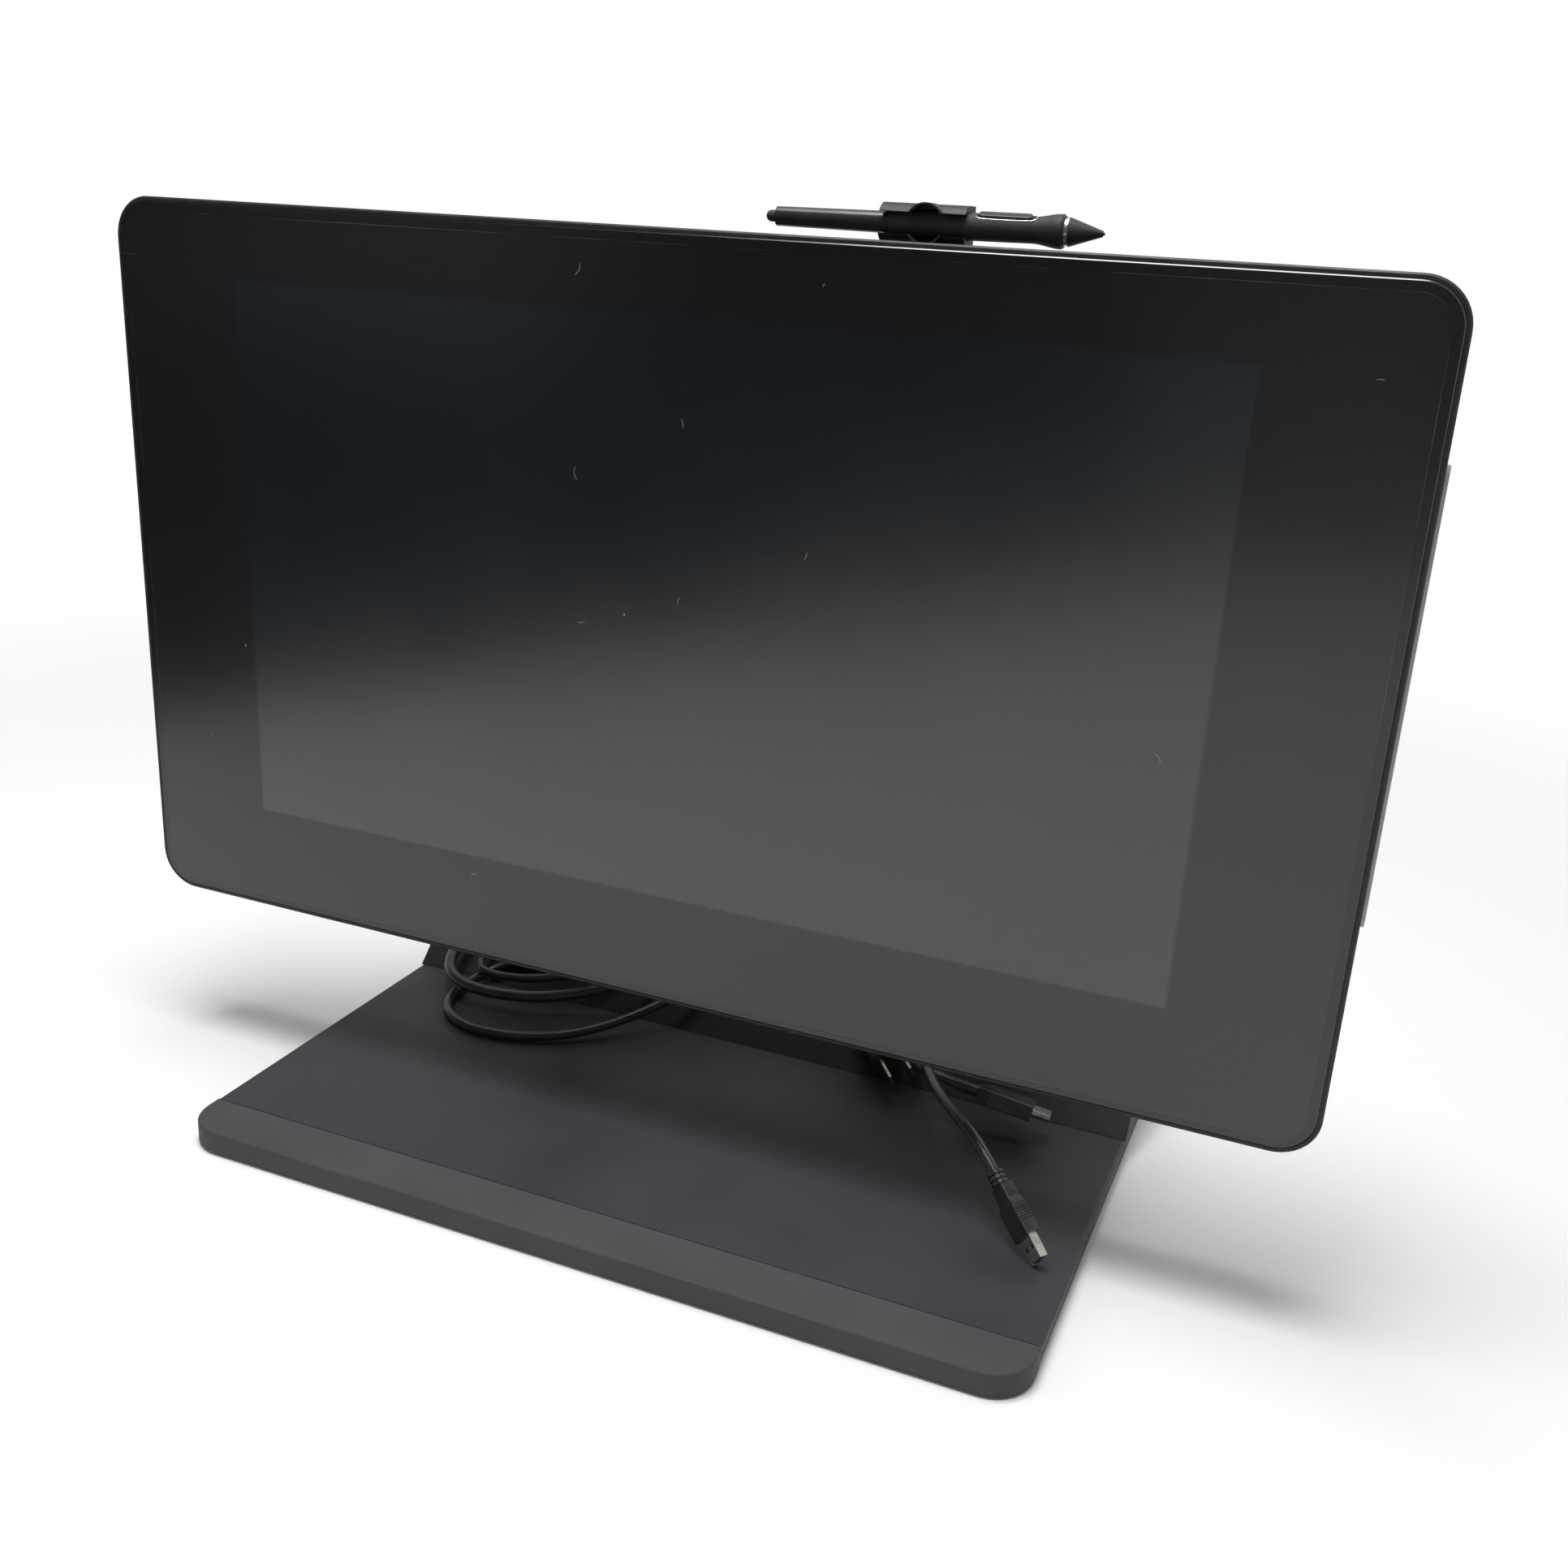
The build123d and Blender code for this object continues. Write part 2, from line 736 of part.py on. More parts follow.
with BuildPart() as hub_caps:
    for start in (arm_outer_x, -arm_outer_x - cap_thick):
        with BuildSketch(arm_level(start)):
            with Locations((arm_length, 0)):
                Circle(cap_radius)
        extrude(amount=cap_thick)
    chamfer(
        hub_caps.faces().filter_by(Axis.X).sort_by(Axis.X)[0].edges()
        + hub_caps.faces().filter_by(Axis.X).sort_by(Axis.X)[-1].edges(),
        length=cap_thick / 3,
    )
hub_caps.part.label = "hub_caps"
export_step(hub_caps.part, "parts/hub_caps.step")

# Spring washers that hold the tilt by friction
with BuildPart() as friction_washers:
    for side in (-1, 1):
        for k, washer_radius in enumerate((washer_large, washer_small, washer_large)):
            pitch = (arm_inner_x - yoke_half - face_gap) / 3
            start = yoke_half + face_gap + k * pitch
            with BuildSketch(arm_level(start if side > 0 else -start - pitch)):
                with Locations((arm_length, 0)):
                    Circle(washer_radius)
                    Circle(shaft_radius, mode=Mode.SUBTRACT)
            extrude(amount=pitch)
friction_washers.part.label = "friction_washers"
export_step(friction_washers.part, "parts/friction_washers.step")

# Tilt head: a yoke round the tilt shaft, with the fixed half of the turntable
with BuildPart() as tilt_yoke:
    with BuildSketch(side_level(-yoke_half)):
        with Locations((arm_top_y, arm_top_z)):
            Circle(yoke_radius)
    extrude(amount=2 * yoke_half)
    chamfer(tilt_yoke.faces().filter_by(Axis.X).edges(), length=yoke_edge)
    with BuildSketch(screen_level(web_front)):
        RectangleRounded(2 * web_half_x, 2 * web_half_z, web_corner)
    extrude(amount=web_front - (arm_top_y - screen_front_y))
    for side in (-1, 1):
        for ear_start in (side * lever_x - ear_outer, side * lever_x + ear_inner):
            with BuildSketch(side_level(ear_start)):
                with Locations((lever_pin_y, lever_pin_z)):
                    Circle(ear_radius)
                with Locations(((lever_pin_y + arm_top_y) / 2, (lever_pin_z + arm_top_z) / 2)):
                    Rectangle(
                        2 * ear_radius - (lever_pin_y - arm_top_y), arm_top_z - lever_pin_z
                    )
            extrude(amount=ear_thick)
    with BuildSketch(side_level(-yoke_half)):
        with Locations((arm_top_y, arm_top_z)):
            Circle(hub_bore)
    extrude(amount=2 * yoke_half, mode=Mode.SUBTRACT)
    with BuildSketch(screen_level(web_front)):
        Circle(pin_ring_radius + seam)
    extrude(amount=-pin_pocket, mode=Mode.SUBTRACT)
    with BuildSketch(side_level(-lever_x - ear_outer)):
        with Locations((lever_pin_y, lever_pin_z)):
            Circle(lever_pin_radius)
    extrude(amount=2 * (lever_x + ear_outer), mode=Mode.SUBTRACT)
    with BuildSketch(screen_level(web_front)):
        with GridLocations(2 * turn_screw_x, 2 * turn_screw_z, 2, 2):
            Circle(screw_radius)
    extrude(amount=-turn_screw_length, mode=Mode.SUBTRACT)
tilt_yoke.part.label = "tilt_yoke"
export_step(tilt_yoke.part, "parts/tilt_yoke.step")

with BuildPart() as tilt_bushes:
    for start in (-yoke_half, yoke_half - tilt_bush_length):
        with BuildSketch(side_level(start)):
            with Locations((arm_top_y, arm_top_z)):
                Circle(hub_bore)
                Circle(shaft_radius + running_gap, mode=Mode.SUBTRACT)
        extrude(amount=tilt_bush_length)
tilt_bushes.part.label = "tilt_bushes"
export_step(tilt_bushes.part, "parts/tilt_bushes.step")

with BuildPart() as turntable_plate:
    with BuildSketch(screen_level(turntable_front)):
        Circle(turntable_radius)
        Circle(turn_pin_radius + running_gap, mode=Mode.SUBTRACT)
    extrude(amount=-turntable_thick)
    with BuildSketch(screen_level(turntable_front)):
        with GridLocations(2 * turn_screw_x, 2 * turn_screw_z, 2, 2):
            Circle(screw_radius)
    extrude(amount=-turntable_thick, mode=Mode.SUBTRACT)
    with BuildSketch(screen_level(turntable_front)):
        with GridLocations(2 * turn_screw_x, 2 * turn_screw_z, 2, 2):
            Circle(screw_head_radius)
    extrude(amount=-screw_head_height, mode=Mode.SUBTRACT)
turntable_plate.part.label = "turntable_plate"
export_step(turntable_plate.part, "parts/turntable_plate.step")

# Turntable screws and the levers' pins
with BuildPart() as head_fasteners:
    with BuildSketch(screen_level(turntable_front)):
        with GridLocations(2 * turn_screw_x, 2 * turn_screw_z, 2, 2):
            Circle(screw_head_radius)
    extrude(amount=-screw_head_height)
    with BuildSketch(screen_level(turntable_front)):
        with GridLocations(2 * turn_screw_x, 2 * turn_screw_z, 2, 2):
            Circle(screw_radius)
    extrude(amount=-turntable_thick - turn_screw_length)
    for x in (-lever_x, lever_x):
        with BuildSketch(side_level(x - ear_outer)):
            with Locations((lever_pin_y, lever_pin_z)):
                Circle(lever_pin_radius)
        extrude(amount=2 * ear_outer)
head_fasteners.part.label = "head_fasteners"
export_step(head_fasteners.part, "parts/head_fasteners.step")

with BuildPart() as slip_ring:
    with BuildSketch(screen_level(turntable_front - slip_thick)):
        Circle(slip_outer)
        Circle(slip_inner, mode=Mode.SUBTRACT)
    extrude(amount=-slip_thick)
slip_ring.part.label = "slip_ring"
export_step(slip_ring.part, "parts/slip_ring.step")


# Release levers, one each side, hung behind the display
def release_lever(side):
    with BuildPart() as lever:
        with BuildSketch(Plane.XZ.offset(-lever_pin_y - lever_thick / 2)):
            with Locations((side * lever_x, lever_pin_z - lever_length)):
                RectangleRounded(paddle_width, paddle_height, paddle_corner)
        extrude(amount=lever_thick)
        chamfer(lever.faces().filter_by(Axis.Y).edges(), length=lever_thick / 5)
        with BuildSketch(side_level(side * lever_x - lever_half)):
            with Locations((lever_pin_y, lever_pin_z)):
                Circle(lever_hub)
            with Locations((lever_pin_y, lever_pin_z - lever_length / 2)):
                Rectangle(lever_thick, lever_length)
            with Locations((lever_pin_y, lever_pin_z)):
                Circle(lever_pin_radius + running_gap, mode=Mode.SUBTRACT)
        extrude(amount=2 * lever_half)
    return lever.part


release_lever_left = release_lever(-1)
release_lever_left.label = "release_lever_left"
export_step(release_lever_left, "parts/release_lever_left.step")
release_lever_right = release_lever(1)
release_lever_right.label = "release_lever_right"
export_step(release_lever_right, "parts/release_lever_right.step")

# Display side of the turntable
with BuildPart() as mount_plate:
    with BuildSketch(screen_level(screen_depth)):
        RectangleRounded(mount_size, mount_size, mount_corner)
    extrude(amount=-mount_thick)
    with BuildSketch(screen_level(screen_depth)):
        with GridLocations(mount_pitch, mount_pitch, 2, 2):
            Circle(screw_radius)
    extrude(amount=-mount_thick, mode=Mode.SUBTRACT)
    with BuildSketch(screen_level(screen_depth + mount_thick)):
        with GridLocations(mount_pitch, mount_pitch, 2, 2):
            Circle(screw_head_radius)
    extrude(amount=screw_head_height, mode=Mode.SUBTRACT)
mount_plate.part.label = "mount_plate"
export_step(mount_plate.part, "parts/mount_plate.step")

with BuildPart() as mount_screws:
    with BuildSketch(screen_level(screen_depth + mount_thick)):
        with GridLocations(mount_pitch, mount_pitch, 2, 2):
            Circle(screw_head_radius)
    extrude(amount=screw_head_height)
    with BuildSketch(screen_level(screen_depth + mount_thick)):
        with GridLocations(mount_pitch, mount_pitch, 2, 2):
            Circle(screw_radius)
    extrude(amount=mount_thick + cover_wall + mount_boss)
mount_screws.part.label = "mount_screws"
export_step(mount_screws.part, "parts/mount_screws.step")

with BuildPart() as turntable_pin:
    with BuildSketch(screen_level(screen_depth + mount_thick)):
        Circle(turn_pin_radius)
    extrude(amount=-(pin_ring_end - screen_depth - mount_thick))
    with BuildSketch(screen_level(pin_ring_end)):
        Circle(pin_ring_radius)
    extrude(amount=pin_ring_thick)
turntable_pin.part.label = "turntable_pin"
export_step(turntable_pin.part, "parts/turntable_pin.step")

# Display frame: outer rim, glass seat and an inner ledge for the chassis
glass_width = screen_width - 2 * glass_margin
glass_height = screen_height - 2 * glass_margin
glass_corner = frame_corner - glass_margin
with BuildPart() as bezel_frame:
    with BuildSketch(screen_level(frame_front)):
        RectangleRounded(screen_width, screen_height, frame_corner)
    extrude(amount=-frame_depth)
    chamfer(bezel_frame.faces().sort_by(Axis.Y)[0].edges(), length=frame_edge)
    with BuildSketch(screen_level(glass_thick)):
        RectangleRounded(ledge_width, ledge_height, glass_corner)
    extrude(amount=-(chassis_front - glass_thick))
    with BuildSketch(screen_level(0)):
        RectangleRounded(
            glass_width + 2 * glass_gap, glass_height + 2 * glass_gap, glass_corner + glass_gap
        )
    extrude(amount=-glass_thick, mode=Mode.SUBTRACT)
    with BuildSketch(screen_level(glass_thick)):
        RectangleRounded(
            chassis_width - 2 * ledge_grip, chassis_height - 2 * ledge_grip, glass_corner - ledge_grip
        )
    extrude(amount=-screen_depth, mode=Mode.SUBTRACT)
bezel_frame.part.label = "bezel_frame"
export_step(bezel_frame.part, "parts/bezel_frame.step")

with BuildPart() as cover_glass:
    with BuildSketch(screen_level(0)):
        RectangleRounded(glass_width, glass_height, glass_corner)
    extrude(amount=-glass_thick)
    chamfer(cover_glass.faces().sort_by(Axis.Y)[0].edges(), length=glass_edge)
cover_glass.part.label = "cover_glass"
export_step(cover_glass.part, "parts/cover_glass.step")

with BuildPart() as surface_film:
    with BuildSketch(screen_level(-film_thick)):
        RectangleRounded(
            glass_width - 2 * film_margin, glass_height - 2 * film_margin, glass_corner - film_margin
        )
    extrude(amount=-film_thick)
surface_film.part.label = "surface_film"
export_step(surface_film.part, "parts/surface_film.step")

# Panel, pen sensor and backlight, bonded in a stack behind the glass
stack = (
    ("lcd_panel", panel_front, panel_thick, panel_border),
    ("pen_sensor", sensor_front, sensor_thick, sensor_border),
    ("backlight_unit", backlight_front, backlight_thick, sensor_border),
)
for layer_name, layer_front, layer_thick, border in stack:
    with BuildPart() as layer:
        with BuildSketch(screen_level(layer_front)):
            with Locations((0, active_up)):
                Rectangle(active_width + 2 * border, active_height + 2 * border)
        extrude(amount=-layer_thick)
    layer.part.label = layer_name
    export_step(layer.part, "parts/" + layer_name + ".step")

# Steel chassis on the frame's ledge, with pads that carry the boards
with BuildPart() as chassis_plate:
    with BuildSketch(screen_level(chassis_front)):
        RectangleRounded(chassis_width, chassis_height, chassis_corner)
    extrude(amount=-chassis_thick)
    with BuildSketch(screen_level(boards_front)):
        for up, width, height in board_places:
            with Locations((0, up)):
                with GridLocations(width - board_pad_inset, height - board_pad_inset, 2, 2):
                    Circle(board_pad_radius)
    extrude(amount=-board_pad_height)
chassis_plate.part.label = "chassis_plate"
export_step(chassis_plate.part, "parts/chassis_plate.step")

# Main board with its chips, power board with its capacitors, small board of the power button
with BuildPart() as circuit_boards:
    with BuildSketch(screen_level(boards_level)):
        for up, width, height in board_places:
            with Locations((0, up)):
                Rectangle(width, height)
    extrude(amount=-board_thick)
    with BuildSketch(screen_level(boards_level + board_thick)):
        with Locations((0, -main_board_drop + main_board_height / 4)):
            with GridLocations(main_board_width / 4, 0, 3, 1):
                Rectangle(chip_size, chip_size)
    extrude(amount=-chip_height)
    with BuildSketch(screen_level(boards_level + board_thick)):
        with Locations((0, power_board_rise)):
            with GridLocations(power_board_width / 3, power_board_height / 3, 3, 2):
                Circle(capacitor_radius)
    extrude(amount=-capacitor_height)
    with BuildSketch(Plane.XY.offset(screen_z + ledge_height / 2)):
        with Locations((button_x, screen_front_y + cover_front + button_board_depth / 2)):
            Rectangle(button_board_width, button_board_depth)
    extrude(amount=board_thick)
    with BuildSketch(Plane.XY.offset(screen_z + ledge_height / 2 + board_thick)):
        with Locations((button_x, button_y)):
            Rectangle(button_switch_size, button_switch_size)
    extrude(amount=button_switch_height)
circuit_boards.part.label = "circuit_boards"
export_step(circuit_boards.part, "parts/circuit_boards.step")

# Two flat fans on the chassis: cases with an axle each, then the rotors
with BuildPart() as fan_cases:
    with BuildSketch(screen_level(boards_front)):
        with Locations((-fan_x, fan_up), (fan_x, fan_up)):
            RectangleRounded(fan_size, fan_size, fan_corner)
    extrude(amount=-fan_depth)
    with BuildSketch(screen_level(boards_front + fan_floor)):
        with Locations((-fan_x, fan_up), (fan_x, fan_up)):
            Circle(fan_size / 2 - fan_wall)
            Circle(fan_axle, mode=Mode.SUBTRACT)
    extrude(amount=-fan_depth, mode=Mode.SUBTRACT)
fan_cases.part.label = "fan_cases"
export_step(fan_cases.part, "parts/fan_cases.step")

fan_reach = fan_size / 2 - fan_wall - 2 * face_gap
for rotor_name, rotor_x in (("fan_rotor_left", -fan_x), ("fan_rotor_right", fan_x)):
    with BuildPart() as fan_rotor:
        with BuildSketch(screen_level(boards_front + fan_floor + face_gap)):
            with Locations((rotor_x, fan_up)):
                Circle(fan_hub)
                with PolarLocations(0, fan_blades):
                    with Locations((fan_reach / 2, 0)):
                        Rectangle(fan_reach, fan_blade_thick)
                Circle(fan_axle + running_gap, mode=Mode.SUBTRACT)
        extrude(amount=-(fan_depth - fan_floor - 2 * face_gap))
    fan_rotor.part.label = rotor_name
    export_step(fan_rotor.part, "parts/" + rotor_name + ".step")

# Rear cover: the solid outline, its hollow, then the shell
cover_width = screen_width - 2 * cover_inset
cover_height = screen_height - 2 * cover_inset
cover_corner = frame_corner - cover_inset
with BuildPart() as cover_outline:
    with BuildSketch(screen_level(cover_front)):
        RectangleRounded(cover_width, cover_height, cover_corner)
    extrude(amount=-cover_straight)
    with BuildSketch(screen_level(cover_front + cover_straight)):
        RectangleRounded(cover_width, cover_height, cover_corner)
    with BuildSketch(screen_level(screen_depth)):
        RectangleRounded(
            cover_width - 2 * cover_slope, cover_height - 2 * cover_slope, cover_back_corner
        )
    loft()
    fillet(cover_outline.faces().sort_by(Axis.Y)[-1].edges(), radius=cover_edge)

with BuildPart() as cover_hollow:
    with BuildSketch(screen_level(cover_front)):
        RectangleRounded(
            cover_width - 2 * cover_wall, cover_height - 2 * cover_wall, cover_corner - cover_wall
        )
    extrude(amount=-cover_straight)
    with BuildSketch(screen_level(cover_front + cover_straight)):
        RectangleRounded(
            cover_width - 2 * cover_wall, cover_height - 2 * cover_wall, cover_corner - cover_wall
        )
    with BuildSketch(screen_level(screen_depth - cover_wall)):
        RectangleRounded(
            cover_width - 2 * cover_slope - 2 * cover_wall,
            cover_height - 2 * cover_slope - 2 * cover_wall,
            cover_back_corner - cover_wall,
        )
    loft()
    with BuildSketch(screen_level(screen_depth)):
        with Locations((0, -port_bay_drop)):
            Rectangle(port_bay_width + 2 * cover_wall, port_bay_height + 2 * cover_wall)
        with GridLocations(mount_pitch, mount_pitch, 2, 2):
            Circle(mount_boss_radius)
    extrude(amount=port_bay_depth + cover_wall, mode=Mode.SUBTRACT)

with BuildPart() as rear_cover:
    add(cover_outline.part)
    add(cover_hollow.part, mode=Mode.SUBTRACT)
    with BuildSketch(screen_level(screen_depth)):
        with Locations((0, -port_bay_drop)):
            Rectangle(port_bay_width, port_bay_height)
    extrude(amount=port_bay_depth, mode=Mode.SUBTRACT)
    with BuildSketch(screen_level(screen_depth)):
        with Locations((0, -port_bay_drop)):
            with GridLocations(port_pitch, 0, len(port_sizes), 1):
                Rectangle(port_hole_width, port_hole_height)
    extrude(amount=port_bay_depth + cover_wall, mode=Mode.SUBTRACT)
    with BuildSketch(screen_level(screen_depth)):
        with GridLocations(2 * vent_x, 2 * vent_up, 2, 2):
            with GridLocations(vent_pitch, 0, vent_count, 1):
                SlotOverall(vent_height, vent_width, rotation=90)
    extrude(amount=cover_wall, mode=Mode.SUBTRACT)
    with BuildSketch(screen_level(screen_depth)):
        with GridLocations(mount_pitch, mount_pitch, 2, 2):
            Circle(screw_radius)
    extrude(amount=cover_wall + mount_boss, mode=Mode.SUBTRACT)
    with BuildSketch(Plane.XY.offset(screen_top_z - cover_inset)):
        with Locations((button_x, button_y)):
            Circle(button_radius + face_gap)
    extrude(amount=-cover_wall, mode=Mode.SUBTRACT)
rear_cover.part.label = "rear_cover"
export_step(rear_cover.part, "parts/rear_cover.step")

# Sockets on the main board, standing in the port bay's floor
socket_back = screen_depth - port_bay_depth
with BuildPart() as port_sockets:
    with BuildSketch(screen_level(boards_level + board_thick)):
        with Locations((0, -port_bay_drop)):
            with GridLocations(port_pitch, 0, len(port_sizes), 1):
                Rectangle(port_hole_width, port_hole_height)
    extrude(amount=-(socket_back - boards_level - board_thick))
    with BuildSketch(screen_level(socket_back)):
        for x, width, height in port_sizes:
            with Locations((x, -port_bay_drop)):
                Rectangle(width, height)
                Rectangle(
                    width - 2 * socket_tongue_gap, height - 2 * socket_tongue_gap, mode=Mode.SUBTRACT
                )
    extrude(amount=socket_recess, mode=Mode.SUBTRACT)
port_sockets.part.label = "port_sockets"
export_step(port_sockets.part, "parts/port_sockets.step")

# Pale strips, shaped to the rear cover's sides
strip_outer_x = screen_width / 2 + strip_proud
with BuildPart() as side_vents:
    for start in (-strip_outer_x, strip_outer_x - strip_reach):
        with BuildSketch(side_level(start)):
            with Locations((screen_front_y + strip_start + strip_depth / 2, screen_z + strip_rise)):
                RectangleRounded(strip_depth, strip_length, strip_round)
        extrude(amount=strip_reach)
    add(cover_outline.part, mode=Mode.SUBTRACT)
side_vents.part.label = "side_vents"
export_step(side_vents.part, "parts/side_vents.step")

# Power button in the top edge
with BuildPart() as power_button:
    with BuildSketch(Plane.XY.offset(button_level)):
        with Locations((button_x, button_y)):
            Circle(button_radius)
    extrude(amount=face_gap + cover_wall + button_proud)
    with BuildSketch(Plane.XY.offset(button_level)):
        with Locations((button_x, button_y)):
            Circle(button_radius + button_flange)
    extrude(amount=-button_flange)
power_button.part.label = "power_button"
export_step(power_button.part, "parts/power_button.step")

# Pen holder: a clip round the pen, open to the front, with a thumb ring and a foot
with BuildPart() as pen_holder:
    with BuildSketch(side_level(holder_start)):
        with Locations((pen_y, pen_z)):
            Circle(holder_radius)
        with Locations(((pen_y + holder_back_y) / 2, pen_z)):
            Rectangle(holder_back_y - pen_y, 2 * holder_radius)
    extrude(amount=holder_length)
    with BuildSketch(Plane.XZ.offset(-pen_y)):
        with Locations((holder_x, pen_z)):
            Circle(ring_outer)
    extrude(amount=holder_reach)
    with BuildSketch(Plane.XZ.offset(-holder_foot_back)):
        with Locations((holder_x, (pen_z + screen_z) / 2)):
            Rectangle(holder_foot, pen_z - screen_z)
    extrude(amount=holder_foot_back - holder_foot_front)
    with BuildSketch(side_level(holder_start)):
        with Locations((pen_y, pen_z)):
            Circle(holder_bore)
        with Locations((pen_y - holder_reach / 2, pen_z)):
            Rectangle(holder_reach, 2 * holder_lip)
    extrude(amount=holder_length, mode=Mode.SUBTRACT)
    with BuildSketch(Plane.XZ.offset(-pen_y)):
        with Locations((holder_x, pen_z)):
            Circle(ring_inner)
    extrude(amount=holder_reach, mode=Mode.SUBTRACT)
    add(cover_outline.part, mode=Mode.SUBTRACT)
pen_holder.part.label = "pen_holder"
export_step(pen_holder.part, "parts/pen_holder.step")


# Pen: profiles are turned about its axis, distances run from its button end
def pen_level(along):
    """Plane through the pen's axis, local X towards the nib, local Y up."""
    return Plane(origin=(pen_end_x + along, pen_y, pen_z), x_dir=(1, 0, 0), z_dir=(0, -1, 0))


def switch_level(height):
    """Plane over the pen's side switch, this far from the pen's axis."""
    lean = radians(switch_turn)
    along = pen_end_x + switch_start + switch_length / 2
    return Plane(
        origin=(along, pen_y - height * sin(lean), pen_z + height * cos(lean)),
        x_dir=(1, 0, 0),
        z_dir=(0, -sin(lean), cos(lean)),
    )


pen_axis = Axis((pen_end_x, pen_y, pen_z), (1, 0, 0))
pen_button_end = pen_button_length + pen_button_room
pen_ring_end = pen_ring_start + pen_ring_length
pen_waist_at = switch_start + switch_length
with BuildPart() as pen_end:
    with BuildSketch(pen_level(0)):
        with BuildLine():
            Polyline(
                (pen_button_radius, 0),
                (pen_button_length, 0),
                (pen_button_length, pen_button_radius),
                (pen_button_radius, pen_button_radius),
            )
            RadiusArc(
                (0, 0), (pen_button_radius, pen_button_radius), pen_button_radius, short_sagitta=True
            )
            Line((0, 0), (pen_button_radius, 0))
        make_face()
    revolve(axis=pen_axis)
pen_end.part.label = "pen_end"
export_step(pen_end.part, "parts/pen_end.step")

with BuildPart() as pen_barrel:
    with BuildSketch(pen_level(0)):
        with BuildLine():
            Polyline(
                (pen_button_proud, pen_button_radius + running_gap),
                (pen_button_proud, pen_tail_radius),
                (pen_grip_start, pen_waist_radius),
                (pen_grip_start, pen_core_radius),
                (pen_ring_end, pen_core_radius),
                (pen_ring_end, 0),
                (pen_button_end, 0),
                (pen_button_end, pen_button_radius + running_gap),
                close=True,
            )
        make_face()
    revolve(axis=pen_axis)
pen_barrel.part.label = "pen_barrel"
export_step(pen_barrel.part, "parts/pen_barrel.step")

with BuildPart() as pen_grip:
    with BuildSketch(pen_level(0)):
        with BuildLine():
            ThreePointArc(
                (pen_grip_start, pen_grip_radius),
                ((pen_grip_start + pen_waist_at) / 2, pen_grip_middle),
                (pen_waist_at, pen_grip_radius),
            )
            Spline(
                (pen_waist_at, pen_grip_radius),
                (pen_ring_start - pen_ring_length, pen_flare_radius),
                tangents=((1, 0), (1, 0)),
            )
            Polyline(
                (pen_ring_start - pen_ring_length, pen_flare_radius),
                (pen_ring_start, pen_ring_radius),
                (pen_ring_start, pen_core_radius),
                (pen_grip_start, pen_core_radius),
                (pen_grip_start, pen_grip_radius),
            )
        make_face()
    revolve(axis=pen_axis)
    with BuildSketch(switch_level(switch_seat - face_gap)):
        Rectangle(switch_length + 2 * face_gap, switch_width + 2 * face_gap)
    extrude(amount=pen_flare_radius, mode=Mode.SUBTRACT)
    with BuildSketch(switch_level(switch_seat - switch_room)):
        with GridLocations((switch_length + switch_ridge) / 2, 0, 2, 1):
            Rectangle((switch_length - switch_ridge) / 2 + face_gap, switch_width + 2 * face_gap)
    extrude(amount=pen_flare_radius, mode=Mode.SUBTRACT)
pen_grip.part.label = "pen_grip"
export_step(pen_grip.part, "parts/pen_grip.step")

with BuildPart() as pen_switch:
    with BuildSketch(switch_level(switch_seat)):
        RectangleRounded(switch_length, switch_width, switch_width / 3)
    extrude(amount=switch_thick)
    fillet(pen_switch.faces().sort_by(Axis.Z)[-1].edges(), radius=switch_thick / 3)
pen_switch.part.label = "pen_switch"
export_step(pen_switch.part, "parts/pen_switch.step")

with BuildPart() as pen_ring:
    with BuildSketch(pen_level(0)):
        with BuildLine():
            Polyline(
                (pen_ring_start, pen_core_radius),
                (pen_ring_start, pen_ring_radius),
                (pen_ring_end, pen_ring_radius),
                (pen_ring_end, pen_core_radius),
                close=True,
            )
        make_face()
    revolve(axis=pen_axis)
pen_ring.part.label = "pen_ring"
export_step(pen_ring.part, "parts/pen_ring.step")

nib_end = pen_length + pen_nib_proud
nib_bore = pen_nib_radius + running_gap
with BuildPart() as pen_nose:
    with BuildSketch(pen_level(0)):
        with BuildLine():
            Polyline(
                (pen_ring_end, 0),
                (pen_ring_end, pen_ring_radius),
                (pen_length, pen_nose_radius),
                (pen_length, nib_bore),
                (nib_end - pen_nib_length - switch_room, nib_bore),
                (nib_end - pen_nib_length - switch_room, 0),
                close=True,
            )
        make_face()
    revolve(axis=pen_axis)
pen_nose.part.label = "pen_nose"
export_step(pen_nose.part, "parts/pen_nose.step")

with BuildPart() as pen_nib:
    with BuildSketch(pen_level(0)):
        with BuildLine():
            Polyline(
                (nib_end - pen_nib_radius, pen_nib_radius),
                (nib_end - pen_nib_length, pen_nib_radius),
                (nib_end - pen_nib_length, 0),
                (nib_end, 0),
            )
            RadiusArc(
                (nib_end - pen_nib_radius, pen_nib_radius), (nib_end, 0), pen_nib_radius
            )
        make_face()
    revolve(axis=pen_axis)
pen_nib.part.label = "pen_nib"
export_step(pen_nib.part, "parts/pen_nib.step")


